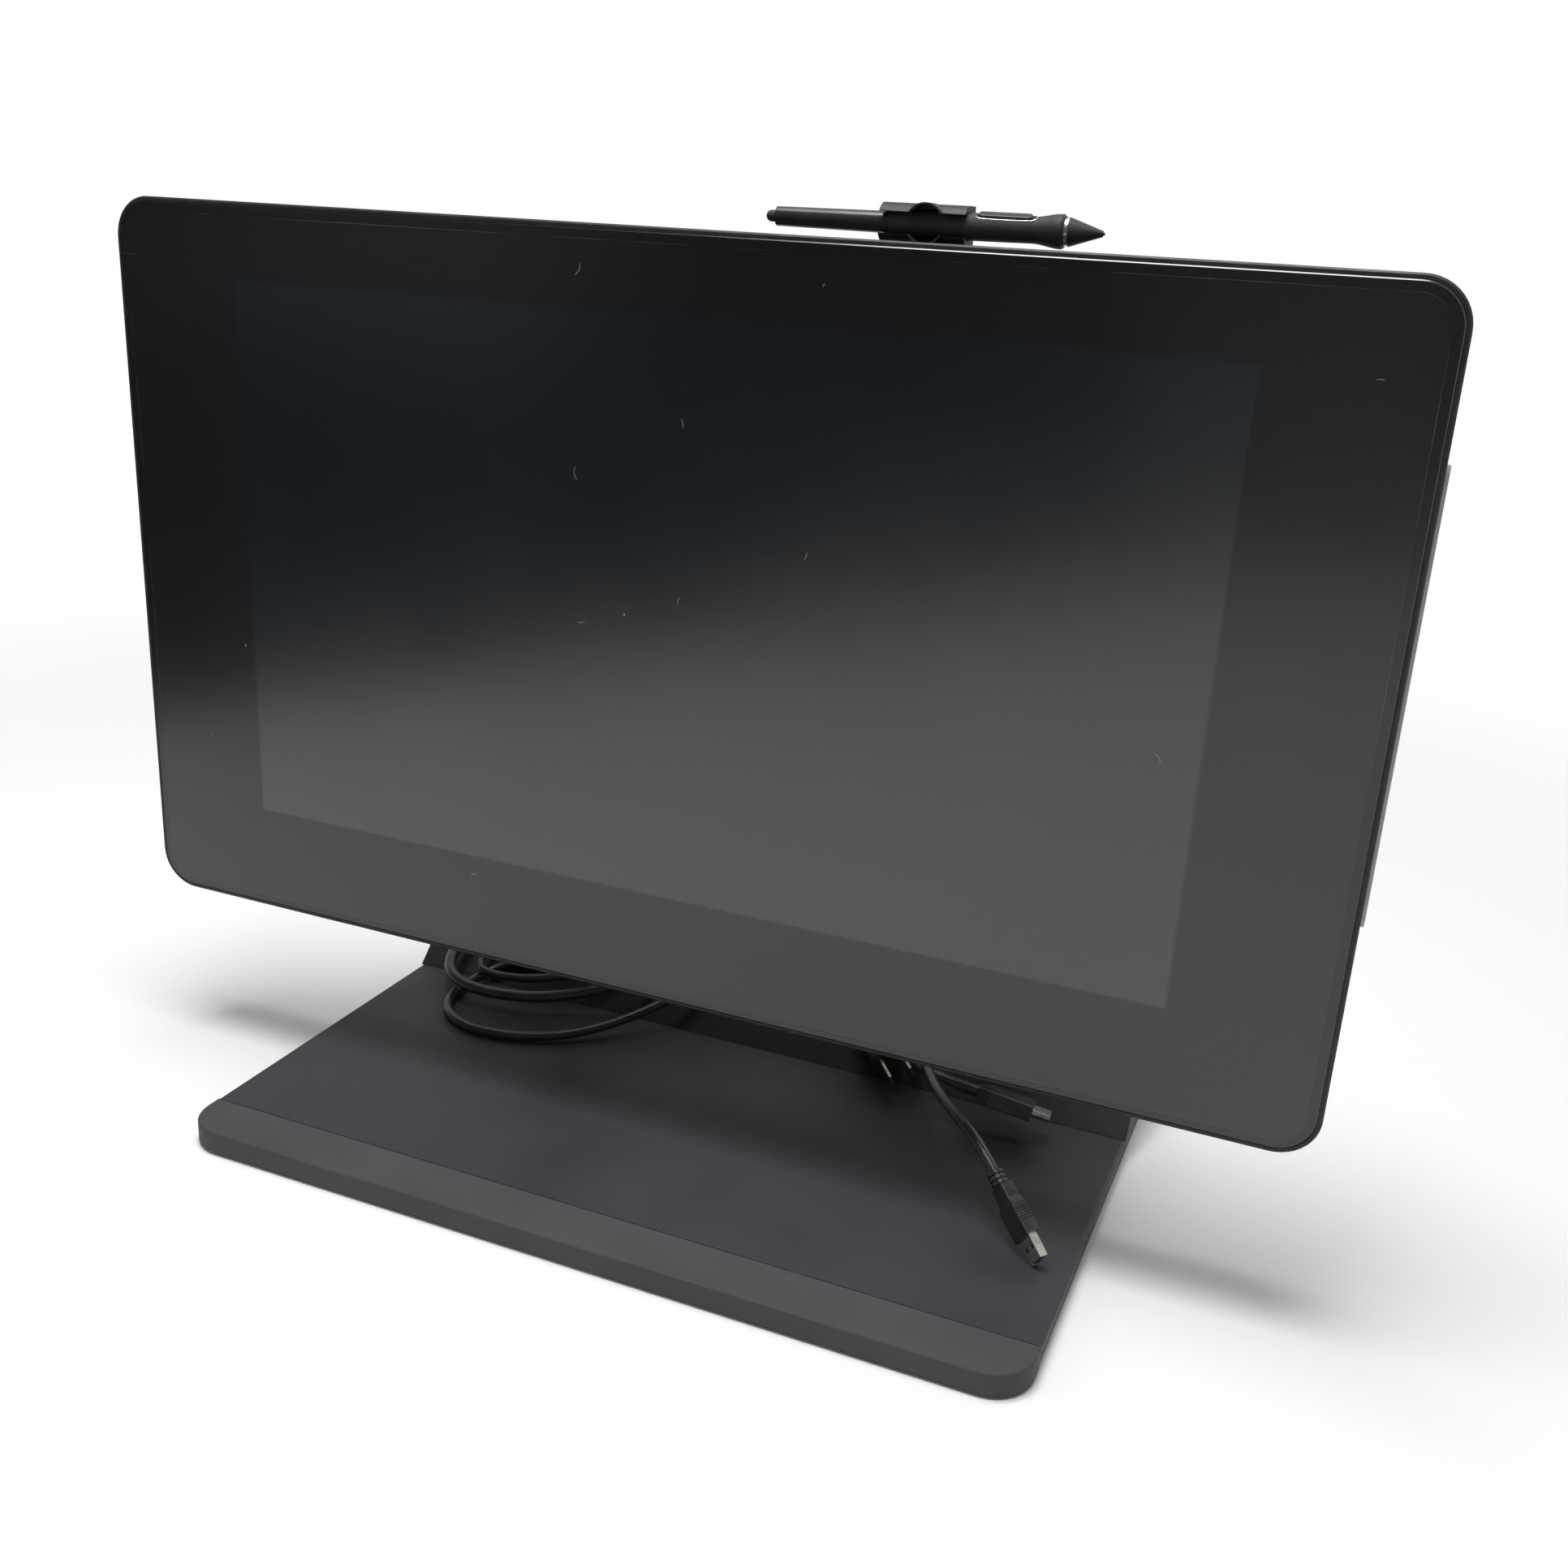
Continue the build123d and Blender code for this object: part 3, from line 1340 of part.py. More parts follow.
# Cord routes, hand-placed, from the gland to the plug: over the shelf, down to the plate,
# round a loop on the left and back along the shelf to the right
usb_route = (
    (-20, 125, 47), (-20, 105, 47), (-27, 84, 46), (-43, 63, 39), (-64, 40, 28),
    (-88, 18, 20), (-112, 1, 17.6), (-138, -8, 17.4), (-163, -8, 17.4), (-185, 7, 17.4),
    (-193, 32, 17.4), (-185, 57, 21.5), (-163, 69, 30.6), (-134, 70, 31.4), (-106, 76, 37),
    (-76, 85, 34.3), (-40, 89, 33.4), (0, 87, 33.4), (38, 89, 33.4), (70, 88, 33.6),
    (92, 78.5, 34.5), (106.5, 63.5, 42), (116, 45, 47), (127, 20, 51), (142, -10, 55.5),
    (160, -33, 57.5), (178, -50.4, 54.7), (188.7, -58.4, 45.9),
)
mains_route = (
    (-44, 125, 47), (-44, 102, 47), (-56, 80, 46.5), (-76, 60, 41), (-100, 43, 33),
    (-129, 31, 27), (-158, 24, 26), (-184, 25, 26), (-203, 38, 28), (-210, 58, 33),
    (-203, 76, 43), (-184, 84, 50), (-155, 84.5, 50), (-129, 86, 52), (-104, 91, 49),
    (-80, 99, 40), (-48, 106.5, 35.5), (-14, 108, 34.4), (11, 110, 36.5), (32, 110.5, 43),
    (51.3, 103.2, 47.4), (65.2, 86.5, 44.1),
)
video_route = (
    (-68, 125, 47), (-68, 104, 47), (-80, 84, 46.5), (-98, 67, 40.5), (-121, 54, 34.5),
    (-150, 43.5, 29.5), (-178, 42.5, 28), (-189.5, 54, 28.5), (-189.5, 66.5, 35.5), (-178, 75, 40.5),
    (-152, 77, 40.5), (-124, 79, 44), (-99, 85, 42), (-72, 95, 35.5), (-42, 98, 33.5),
    (-8, 97, 33.5), (30, 99, 33.5), (64, 97.5, 33.7), (87, 91.5, 34.1), (101, 80, 34.6),
    (108, 64, 35.3), (111.5, 48, 37.8), (119.5, 36.5, 40), (130.6, 31.5, 40.9), (142.4, 32.3, 38.9),
)


def bend_radii(route):
    """One radius for each corner of a route, as large as its two runs allow."""
    radii = []
    for before, here, after in zip(route, route[1:], route[2:]):
        arriving = Vector(*here) - Vector(*before)
        leaving = Vector(*after) - Vector(*here)
        shorter = min(arriving.length, leaving.length)
        radii.append(bend_share * shorter / tan(radians(arriving.get_angle(leaving)) / 2))
    return radii


for cord_name, route, thick in (
    ("usb_cord", usb_route, usb_thick),
    ("mains_cord", mains_route, mains_thick),
    ("video_cord", video_route, video_thick),
):
    with BuildPart() as cord:
        with BuildLine() as path:
            FilletPolyline(*route, radius=bend_radii(route))
        with BuildSketch(Plane(origin=path.line @ 0, z_dir=path.line % 0)):
            Circle(thick / 2)
        sweep()
    reach = sum(edge.length for edge in path.edges())
    tube_share = cord.part.volume / (pi * thick**2 / 4 * reach)
    print(cord_name, "length", round(reach), "radii", [round(radius) for radius in bend_radii(route)])
    print("   volume over section times length:", round(tube_share, 3))
    cord.part.label = cord_name
    export_step(cord.part, "parts/" + cord_name + ".step")


# Plugs: each starts where its cord ends and runs along its heading. The USB and video
# plugs are built upright, local X over their width, and then laid along their cords
usb_across = Vector(-0.397, 0.385, -0.833)
usb_relief = 8.0
usb_relief_radius = 3.6
usb_ring_radius = 4.4
usb_ring_length = 1.7
usb_ring_pitch = 2.7
usb_body = 28.0
usb_neck = 8.0
usb_shoulder = 12.0
usb_neck_width = 12.4
usb_neck_thick = 7.0
usb_body_width = 16.0
usb_body_thick = 8.3
usb_ridge_start = 15.0
usb_ridge_pitch = 1.5
usb_ridge_width = 0.7
usb_ridge_depth = 0.4
usb_shell_length = 12.5
usb_shell_width = 12.0
usb_shell_thick = 4.5
usb_tongue_width = 9.6
usb_tongue_thick = 1.8
usb_tongue_drop = 0.7
usb_hole = 2.2
usb_hole_x = 3.0
usb_hole_place = 5.8
mains_across = Vector(0.782, 0.503, 0.369)
mains_relief = 16.0
mains_body = 36.0
mains_body_width = 23.0
mains_body_thick = 14.0
mains_body_round = 5.0
blade_length = 17.5
blade_width = 6.3
blade_thick = 1.5
blade_pitch = 12.7
video_across = Vector(-0.115, 0.947, -0.3)
video_relief = 13.0
video_relief_radius = 3.7
video_window_length = 1.7
video_window_width = 2.6
video_window_depth = 0.9
video_window_pitch = 3.9
video_body = 32.0
video_shoulder = 7.0
video_neck_width = 11.0
video_neck_thick = 7.4
video_body_width = 20.5
video_body_thick = 9.0
video_shell_length = 10.2
video_shell_width = 13.9
video_shell_thick = 4.5
video_shell_base = 10.4
video_shell_side = 2.4
video_tongue_width = 10.0
video_tongue_thick = 1.2
plug_edge = 0.8
shell_wall = 0.4
shell_mouth = 8.0
relief_wall = 1.6


def plug_level(route, across, along):
    """Plane across a plug, this far past its cord's end, local X over its width."""
    end = Vector(*route[-1])
    heading = (end - Vector(*route[-2])).normalized()
    return Plane(origin=end + heading * along, x_dir=across, z_dir=heading)


def plug_body(route, across, thick, relief, length, width, height, corner):
    with BuildPart() as body:
        with BuildSketch(plug_level(route, across, 0)):
            Circle(thick / 2 + relief_wall / 2)
        with BuildSketch(plug_level(route, across, relief)):
            Circle(thick / 2 + relief_wall)
        loft()
        with BuildSketch(plug_level(route, across, relief)):
            RectangleRounded(width, height, corner)
        extrude(amount=length)
    return body.part


def plug_grip(start, length, neck, shoulder, narrow, full):
    """The moulded grip, narrow up to its neck and at full size from its shoulder on."""
    with BuildPart() as grip:
        if neck > 0:
            with BuildSketch(Plane.XY.offset(start)):
                RectangleRounded(*narrow, plug_edge)
            extrude(amount=neck)
        with BuildSketch(Plane.XY.offset(start + neck)):
            RectangleRounded(*narrow, plug_edge)
        with BuildSketch(Plane.XY.offset(start + shoulder)):
            RectangleRounded(*full, plug_edge)
        loft()
        with BuildSketch(Plane.XY.offset(start + shoulder)):
            RectangleRounded(*full, plug_edge)
        extrude(amount=length - shoulder)
    return grip.part


def plug_shell(start, length, corners, tongue_width, tongue_thick, tongue_drop):
    """The steel shell on a grip's end, hollow at the mouth round a tongue."""
    with BuildPart() as shell:
        with BuildSketch(Plane.XY.offset(start)):
            with BuildLine():
                Polyline(*corners, close=True)
            make_face()
        extrude(amount=length)
        with BuildSketch(Plane.XY.offset(start + length)):
            with BuildLine():
                Polyline(*corners, close=True)
            make_face()
            offset(amount=-shell_wall, mode=Mode.REPLACE)
            with Locations((0, tongue_drop)):
                Rectangle(tongue_width, tongue_thick, mode=Mode.SUBTRACT)
        extrude(amount=-shell_mouth, mode=Mode.SUBTRACT)
    return shell.part


usb_place = plug_level(usb_route, usb_across, 0).location
with BuildPart() as usb_moulding:
    with BuildSketch():
        Circle(usb_relief_radius)
    extrude(amount=usb_relief)
    for k in range(3):
        with BuildSketch(Plane.XY.offset(k * usb_ring_pitch)):
            Circle(usb_ring_radius)
        extrude(amount=usb_ring_length)
    add(
        plug_grip(
            usb_relief, usb_body, usb_neck, usb_shoulder,
            (usb_neck_width, usb_neck_thick), (usb_body_width, usb_body_thick),
        )
    )
    for k in range(5):
        along = usb_relief + usb_ridge_start + k * usb_ridge_pitch
        for side in (-1, 1):
            with Locations((side * usb_body_width / 2, 0, along)):
                Box(2 * usb_ridge_depth, usb_body_thick, usb_ridge_width, mode=Mode.SUBTRACT)
usb_plug = usb_place * usb_moulding.part
usb_plug.label = "usb_plug"
export_step(usb_plug, "parts/usb_plug.step")

usb_half = usb_shell_width / 2
usb_rise = usb_shell_thick / 2
with BuildPart() as usb_metal:
    add(
        plug_shell(
            usb_relief + usb_body, usb_shell_length,
            ((-usb_half, -usb_rise), (usb_half, -usb_rise), (usb_half, usb_rise), (-usb_half, usb_rise)),
            usb_tongue_width, usb_tongue_thick, usb_tongue_drop,
        )
    )
    for x in (-usb_hole_x, usb_hole_x):
        for side in (-1, 1):
            with Locations((x, side * usb_rise, usb_relief + usb_body + usb_hole_place)):
                Box(usb_hole, 2 * shell_wall, usb_hole, mode=Mode.SUBTRACT)
usb_shell = usb_place * usb_metal.part
usb_shell.label = "usb_shell"
export_step(usb_shell, "parts/usb_shell.step")

video_place = plug_level(video_route, video_across, 0).location
with BuildPart() as video_moulding:
    with BuildSketch():
        Circle(video_relief_radius)
    extrude(amount=video_relief)
    for k in range(3):
        with PolarLocations(video_relief_radius, 4):
            with Locations((0, 0, video_window_length + k * video_window_pitch)):
                Box(
                    2 * video_window_depth, video_window_width, video_window_length,
                    align=(Align.CENTER, Align.CENTER, Align.MIN), mode=Mode.SUBTRACT,
                )
    add(
        plug_grip(
            video_relief, video_body, 0, video_shoulder,
            (video_neck_width, video_neck_thick), (video_body_width, video_body_thick),
        )
    )
video_plug = video_place * video_moulding.part
video_plug.label = "video_plug"
export_step(video_plug, "parts/video_plug.step")

video_half = video_shell_width / 2
video_rise = video_shell_thick / 2
video_metal = plug_shell(
    video_relief + video_body, video_shell_length,
    (
        (-video_shell_base / 2, -video_rise), (video_shell_base / 2, -video_rise),
        (video_half, video_rise - video_shell_side), (video_half, video_rise),
        (-video_half, video_rise), (-video_half, video_rise - video_shell_side),
    ),
    video_tongue_width, video_tongue_thick, 0,
)
video_shell = video_place * video_metal
video_shell.label = "video_shell"
export_step(video_shell, "parts/video_shell.step")

mains_plug = plug_body(
    mains_route, mains_across, mains_thick, mains_relief,
    mains_body, mains_body_width, mains_body_thick, mains_body_round,
)
mains_plug.label = "mains_plug"
export_step(mains_plug, "parts/mains_plug.step")
with BuildPart() as mains_blades:
    with BuildSketch(plug_level(mains_route, mains_across, mains_relief + mains_body)):
        with Locations((-blade_pitch / 2, 0), (blade_pitch / 2, 0)):
            Rectangle(blade_thick, blade_width)
    extrude(amount=blade_length)
mains_blades.part.label = "mains_blades"
export_step(mains_blades.part, "parts/mains_blades.step")
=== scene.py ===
import bpy
import bmesh
import json
import math
from mathutils import Matrix, Vector


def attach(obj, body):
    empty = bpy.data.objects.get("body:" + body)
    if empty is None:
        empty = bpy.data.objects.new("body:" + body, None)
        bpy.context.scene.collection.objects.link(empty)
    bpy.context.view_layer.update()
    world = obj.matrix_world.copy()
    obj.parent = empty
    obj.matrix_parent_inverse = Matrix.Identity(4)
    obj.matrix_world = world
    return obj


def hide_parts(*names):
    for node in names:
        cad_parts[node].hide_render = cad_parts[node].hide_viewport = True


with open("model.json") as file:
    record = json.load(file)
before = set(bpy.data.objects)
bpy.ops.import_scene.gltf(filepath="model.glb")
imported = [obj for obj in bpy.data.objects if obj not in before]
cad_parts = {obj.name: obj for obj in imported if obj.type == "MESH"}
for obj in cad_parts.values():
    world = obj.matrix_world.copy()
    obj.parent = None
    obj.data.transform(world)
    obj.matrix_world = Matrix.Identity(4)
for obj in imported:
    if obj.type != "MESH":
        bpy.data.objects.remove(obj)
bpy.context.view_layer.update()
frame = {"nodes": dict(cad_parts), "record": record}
nodes = frame["nodes"]
world = bpy.context.scene.world or bpy.data.worlds.new("studioWorld")
bpy.context.scene.world = world
bpy.context.scene.view_settings.view_transform = "Standard"


def addObject(name, data):
    thing = bpy.data.objects.new(name, data)
    bpy.context.scene.collection.objects.link(thing)
    return thing


def meshFrom(bm, name):
    mesh = bpy.data.meshes.new(name)
    bm.to_mesh(mesh)
    bm.free()
    return mesh


# The camera stands where the corners of the screen and of the base agree with the picture.
photoView = {
    "place": (0.33677, -0.76003, 0.49324),
    "azimuth": 21.418,
    "elevation": 19.119,
    "roll": 3.355,
    "lens": 36.751,
    "sensor": 36.0,
    "nearest": 0.01,
}


def addCamera(values):
    azimuth, elevation, roll = (math.radians(values[k]) for k in ("azimuth", "elevation", "roll"))
    back = Vector((
        math.sin(azimuth) * math.cos(elevation),
        -math.cos(azimuth) * math.cos(elevation),
        math.sin(elevation),
    ))
    right = (-back).cross(Vector((0, 0, 1))).normalized()
    up = right.cross(-back)
    rolledRight = right * math.cos(roll) + up * math.sin(roll)
    rolledUp = up * math.cos(roll) - right * math.sin(roll)
    data = bpy.data.cameras.new("photoCamera")
    data.lens = values["lens"]
    data.sensor_width = values["sensor"]
    data.sensor_fit = "HORIZONTAL"
    data.clip_start = values["nearest"]
    camera = addObject("photoCamera", data)
    turn = Matrix((rolledRight, rolledUp, back)).transposed().to_4x4()
    camera.matrix_world = Matrix.Translation(values["place"]) @ turn
    bpy.context.scene.camera = camera


addCamera(photoView)
print("camera placed")


# Node tree helpers
def emptyTree(owner):
    owner.use_nodes = True
    owner.node_tree.nodes.clear()
    return owner.node_tree


nodeSpacing = 200


def put(tree, kind, values=None, **settings):
    node = tree.nodes.new(kind)
    node.location = (nodeSpacing * len(tree.nodes), 0)
    for key, value in settings.items():
        setattr(node, key, value)
    for key, value in (values or {}).items():
        node.inputs[key].default_value = value
    return node


def feed(tree, value, socket):
    if isinstance(value, (int, float)):
        socket.default_value = value
    else:
        tree.links.new(value, socket)


def calculate(tree, operation, first, second=None):
    node = put(tree, "ShaderNodeMath", operation=operation)
    feed(tree, first, node.inputs[0])
    if second is not None:
        feed(tree, second, node.inputs[1])
    return node.outputs[0]


def remap(tree, value, low, high, newLow=0.0, newHigh=1.0, smooth=True):
    node = put(tree, "ShaderNodeMapRange", interpolation_type="SMOOTHSTEP" if smooth else "LINEAR")
    for key, number in (
        ("Value", value), ("From Min", low), ("From Max", high), ("To Min", newLow), ("To Max", newHigh),
    ):
        feed(tree, number, node.inputs[key])
    return node.outputs["Result"]


def mixColour(tree, factor, first, second):
    node = put(tree, "ShaderNodeMix", data_type="RGBA", clamp_factor=True)
    tree.links.new(factor, node.inputs[0])
    for place, value in ((6, first), (7, second)):
        if isinstance(value, tuple):
            node.inputs[place].default_value = (*value, 1)
        else:
            tree.links.new(value, node.inputs[place])
    return node.outputs[2]


def cover(tree, mask, share, under, over):
    return mixColour(tree, calculate(tree, "MULTIPLY", mask, share), under, over)


def objectPlace(tree):
    return put(tree, "ShaderNodeTexCoord").outputs["Object"]


def sizedNoise(tree, size, detail, roughness):
    noise = put(tree, "ShaderNodeTexNoise", {"Detail": detail, "Roughness": roughness})
    tree.links.new(objectPlace(tree), noise.inputs["Vector"])
    tree.links.new(calculate(tree, "DIVIDE", 1.0, size), noise.inputs["Scale"])
    return noise.outputs["Fac"]


def makeGroup(name, inputs, outputs):
    group = bpy.data.node_groups.new(name, "ShaderNodeTree")
    for label, value in inputs.items():
        socket = group.interface.new_socket(label, in_out="INPUT", socket_type="NodeSocketFloat")
        socket.default_value = value
    for label, kind in outputs.items():
        group.interface.new_socket(label, in_out="OUTPUT", socket_type=kind)
    return group, put(group, "NodeGroupInput"), put(group, "NodeGroupOutput")


def useGroup(tree, group, values):
    return put(tree, "ShaderNodeGroup", values, node_tree=group)


# Fine moulding grain and slow mottling
grainPattern = {"detail": {"Grain": 2.0, "Mottle": 4.0}, "roughness": 0.55, "low": 0.3, "high": 0.7}


def makeGrainGroup(look):
    tree, entry, leave = makeGroup(
        "mouldedGrain",
        {"Grain Size": 0.0004, "Mottle Size": 0.03},
        {"Grain": "NodeSocketFloat", "Mottle": "NodeSocketFloat"},
    )
    for label, detail in look["detail"].items():
        noise = sizedNoise(tree, entry.outputs[label + " Size"], detail, look["roughness"])
        tree.links.new(remap(tree, noise, look["low"], look["high"]), leave.inputs[label])
    return tree


# Rubbed edges, which on the film paint a pale highlight along its edge, and the rounded normal that softens
# them
edgePattern = {
    "samples": 4,
    "flat": 0.995,
    "turned": 0.93,
    "detail": 5.0,
    "roughness": 0.65,
    "low": 0.42,
    "high": 0.66,
}


def makeEdgeGroup(look):
    tree, entry, leave = makeGroup(
        "rubbedEdgeAndHighlight",
        {"Radius": 0.0006, "Break Size": 0.006},
        {"Mask": "NodeSocketFloat", "Normal": "NodeSocketVector"},
    )
    rounded = put(tree, "ShaderNodeBevel", samples=look["samples"])
    tree.links.new(entry.outputs["Radius"], rounded.inputs["Radius"])
    geometry = put(tree, "ShaderNodeNewGeometry")
    dot = put(tree, "ShaderNodeVectorMath", operation="DOT_PRODUCT")
    tree.links.new(rounded.outputs["Normal"], dot.inputs[0])
    tree.links.new(geometry.outputs["Normal"], dot.inputs[1])
    edge = remap(tree, dot.outputs["Value"], look["flat"], look["turned"])
    noise = sizedNoise(tree, entry.outputs["Break Size"], look["detail"], look["roughness"])
    broken = remap(tree, noise, look["low"], look["high"])
    tree.links.new(calculate(tree, "MULTIPLY", edge, broken), leave.inputs["Mask"])
    tree.links.new(rounded.outputs["Normal"], leave.inputs["Normal"])
    return tree


# Settled dust: round specks, one to a chosen cell
def makeDustGroup():
    tree, entry, leave = makeGroup(
        "settledDust",
        {"Cell": 0.006, "Speck": 0.05, "Share": 0.2},
        {"Mask": "NodeSocketFloat"},
    )
    cells = put(tree, "ShaderNodeTexVoronoi", feature="F1")
    tree.links.new(objectPlace(tree), cells.inputs["Vector"])
    tree.links.new(calculate(tree, "DIVIDE", 1.0, entry.outputs["Cell"]), cells.inputs["Scale"])
    pick = put(tree, "ShaderNodeSeparateColor")
    tree.links.new(cells.outputs["Color"], pick.inputs["Color"])
    size = calculate(tree, "MULTIPLY", pick.outputs["Green"], entry.outputs["Speck"])
    speck = calculate(tree, "LESS_THAN", cells.outputs["Distance"], size)
    chosen = calculate(tree, "LESS_THAN", pick.outputs["Red"], entry.outputs["Share"])
    tree.links.new(calculate(tree, "MULTIPLY", speck, chosen), leave.inputs["Mask"])
    return tree


# Short hairs and scratches on one plane, one to a chosen cell
markPattern = {"turn": 6.28, "shortest": 0.3, "fadeTo": 1.0, "fadeFrom": 0.7}


def makeMarkGroup(look):
    tree, entry, leave = makeGroup(
        "strayMarks",
        {"Cell": 0.06, "Length": 0.1, "Width": 0.004, "Curl": 3.0, "Share": 0.3, "Seed": 0.0},
        {"Mask": "NodeSocketFloat"},
    )
    parts = put(tree, "ShaderNodeSeparateXYZ")
    tree.links.new(objectPlace(tree), parts.inputs["Vector"])
    flat = put(tree, "ShaderNodeCombineXYZ")
    for place, axis in enumerate("XZ"):
        scaled = calculate(tree, "DIVIDE", parts.outputs[axis], entry.outputs["Cell"])
        tree.links.new(calculate(tree, "ADD", scaled, entry.outputs["Seed"]), flat.inputs[place])
    cells = put(tree, "ShaderNodeTexVoronoi", {"Scale": 1.0}, feature="F1", voronoi_dimensions="2D")
    tree.links.new(flat.outputs["Vector"], cells.inputs["Vector"])
    offset = put(tree, "ShaderNodeVectorMath", operation="SUBTRACT")
    tree.links.new(flat.outputs["Vector"], offset.inputs[0])
    tree.links.new(cells.outputs["Position"], offset.inputs[1])
    pick = put(tree, "ShaderNodeSeparateColor")
    tree.links.new(cells.outputs["Color"], pick.inputs["Color"])
    turn = put(tree, "ShaderNodeVectorRotate", rotation_type="Z_AXIS")
    tree.links.new(offset.outputs["Vector"], turn.inputs["Vector"])
    tree.links.new(calculate(tree, "MULTIPLY", pick.outputs["Green"], look["turn"]), turn.inputs["Angle"])
    local = put(tree, "ShaderNodeSeparateXYZ")
    tree.links.new(turn.outputs["Vector"], local.inputs["Vector"])
    square = calculate(tree, "MULTIPLY", local.outputs["X"], local.outputs["X"])
    bend = calculate(tree, "MULTIPLY", square, entry.outputs["Curl"])
    side = calculate(tree, "ABSOLUTE", calculate(tree, "SUBTRACT", local.outputs["Y"], bend))
    longer = calculate(tree, "ADD", pick.outputs["Blue"], look["shortest"])
    reach = calculate(tree, "MULTIPLY", longer, entry.outputs["Length"])
    across = remap(tree, side, entry.outputs["Width"], 0.0)
    share = calculate(tree, "DIVIDE", calculate(tree, "ABSOLUTE", local.outputs["X"]), reach)
    along = remap(tree, share, look["fadeTo"], look["fadeFrom"])
    chosen = calculate(tree, "LESS_THAN", pick.outputs["Red"], entry.outputs["Share"])
    line = calculate(tree, "MULTIPLY", across, along)
    tree.links.new(calculate(tree, "MULTIPLY", line, chosen), leave.inputs["Mask"])
    return tree


grainGroup = makeGrainGroup(grainPattern)
edgeGroup = makeEdgeGroup(edgePattern)
dustGroup = makeDustGroup()
markGroup = makeMarkGroup(markPattern)


def newFinish(name, values):
    material = bpy.data.materials.new(name)
    tree = emptyTree(material)
    shader = put(tree, "ShaderNodeBsdfPrincipled", values)
    output = put(tree, "ShaderNodeOutputMaterial")
    tree.links.new(shader.outputs[0], output.inputs[0])
    return material, tree, shader


def addBump(tree, shader, height, strength, distance, normal=None):
    bump = put(tree, "ShaderNodeBump", {"Strength": strength, "Distance": distance})
    tree.links.new(height, bump.inputs["Height"])
    if normal is not None:
        tree.links.new(normal, bump.inputs["Normal"])
    tree.links.new(bump.outputs["Normal"], shader.inputs["Normal"])


# Painted, moulded and rubber surfaces, with what they share unless a finish says otherwise
solidDefaults = {
    "rough": 0.5, "spread": 0.08, "gloss": 0.4, "grain": 0.0005, "relief": 0.25, "depth": 0.00006,
    "mottle": 0.03, "vary": 1.3, "lift": 0.001, "edge": 0.0005, "breaks": 0.006, "wear": 0.35,
    "worn": (0.12, 0.12, 0.12), "dust": 0.12, "dustCell": 0.007, "speck": 0.04, "dustCover": 0.8,
    "dustColour": (0.5, 0.49, 0.46),
}


def solidFinish(name, own):
    look = {**solidDefaults, **own}
    material, tree, shader = newFinish(name, {"Specular IOR Level": look["gloss"]})
    grain = useGroup(tree, grainGroup, {"Grain Size": look["grain"], "Mottle Size": look["mottle"]})
    edge = useGroup(tree, edgeGroup, {"Radius": look["edge"], "Break Size": look["breaks"]})
    dust = useGroup(tree, dustGroup, {
        "Cell": look["dustCell"], "Speck": look["speck"], "Share": look["dust"],
    })
    paler = tuple(min(1.0, c * look["vary"] + look["lift"]) for c in look["colour"])
    mottled = mixColour(tree, grain.outputs["Mottle"], look["colour"], paler)
    rubbed = cover(tree, edge.outputs["Mask"], look["wear"], mottled, look["worn"])
    dusty = cover(tree, dust.outputs["Mask"], look["dustCover"], rubbed, look["dustColour"])
    tree.links.new(dusty, shader.inputs["Base Color"])
    smoothest, roughest = look["rough"] - look["spread"], look["rough"] + look["spread"]
    rough = remap(tree, grain.outputs["Mottle"], 0.0, 1.0, smoothest, roughest, False)
    tree.links.new(rough, shader.inputs["Roughness"])
    addBump(tree, shader, grain.outputs["Grain"], look["relief"], look["depth"], edge.outputs["Normal"])
    return material


# Bare metals: drawn lines along one axis that show in the roughness and the relief
metalDefaults = {
    "rough": 0.3, "smoother": 0.07, "rougher": 0.1, "scale": 260.0, "stretch": (1, 1, 14), "detail": 4.0,
    "raggedness": 0.7, "low": 0.3, "high": 0.7, "grain": 0.0008, "mottle": 0.01, "vary": 0.72,
    "edge": 0.0002, "breaks": 0.004, "relief": 0.12, "depth": 0.00004,
}


def metalFinish(name, own):
    look = {**metalDefaults, **own}
    material, tree, shader = newFinish(name, {"Metallic": 1.0})
    stretch = put(tree, "ShaderNodeMapping")
    stretch.inputs["Scale"].default_value = look["stretch"]
    tree.links.new(objectPlace(tree), stretch.inputs["Vector"])
    lines = put(tree, "ShaderNodeTexNoise", {
        "Scale": look["scale"], "Detail": look["detail"], "Roughness": look["raggedness"],
    })
    tree.links.new(stretch.outputs["Vector"], lines.inputs["Vector"])
    grain = useGroup(tree, grainGroup, {"Grain Size": look["grain"], "Mottle Size": look["mottle"]})
    edge = useGroup(tree, edgeGroup, {"Radius": look["edge"], "Break Size": look["breaks"]})
    darker = tuple(c * look["vary"] for c in look["colour"])
    stained = mixColour(tree, grain.outputs["Mottle"], look["colour"], darker)
    tree.links.new(stained, shader.inputs["Base Color"])
    smoothest, roughest = look["rough"] - look["smoother"], look["rough"] + look["rougher"]
    rough = remap(tree, lines.outputs["Fac"], look["low"], look["high"], smoothest, roughest, False)
    tree.links.new(rough, shader.inputs["Roughness"])
    addBump(tree, shader, lines.outputs["Fac"], look["relief"], look["depth"], edge.outputs["Normal"])
    return material


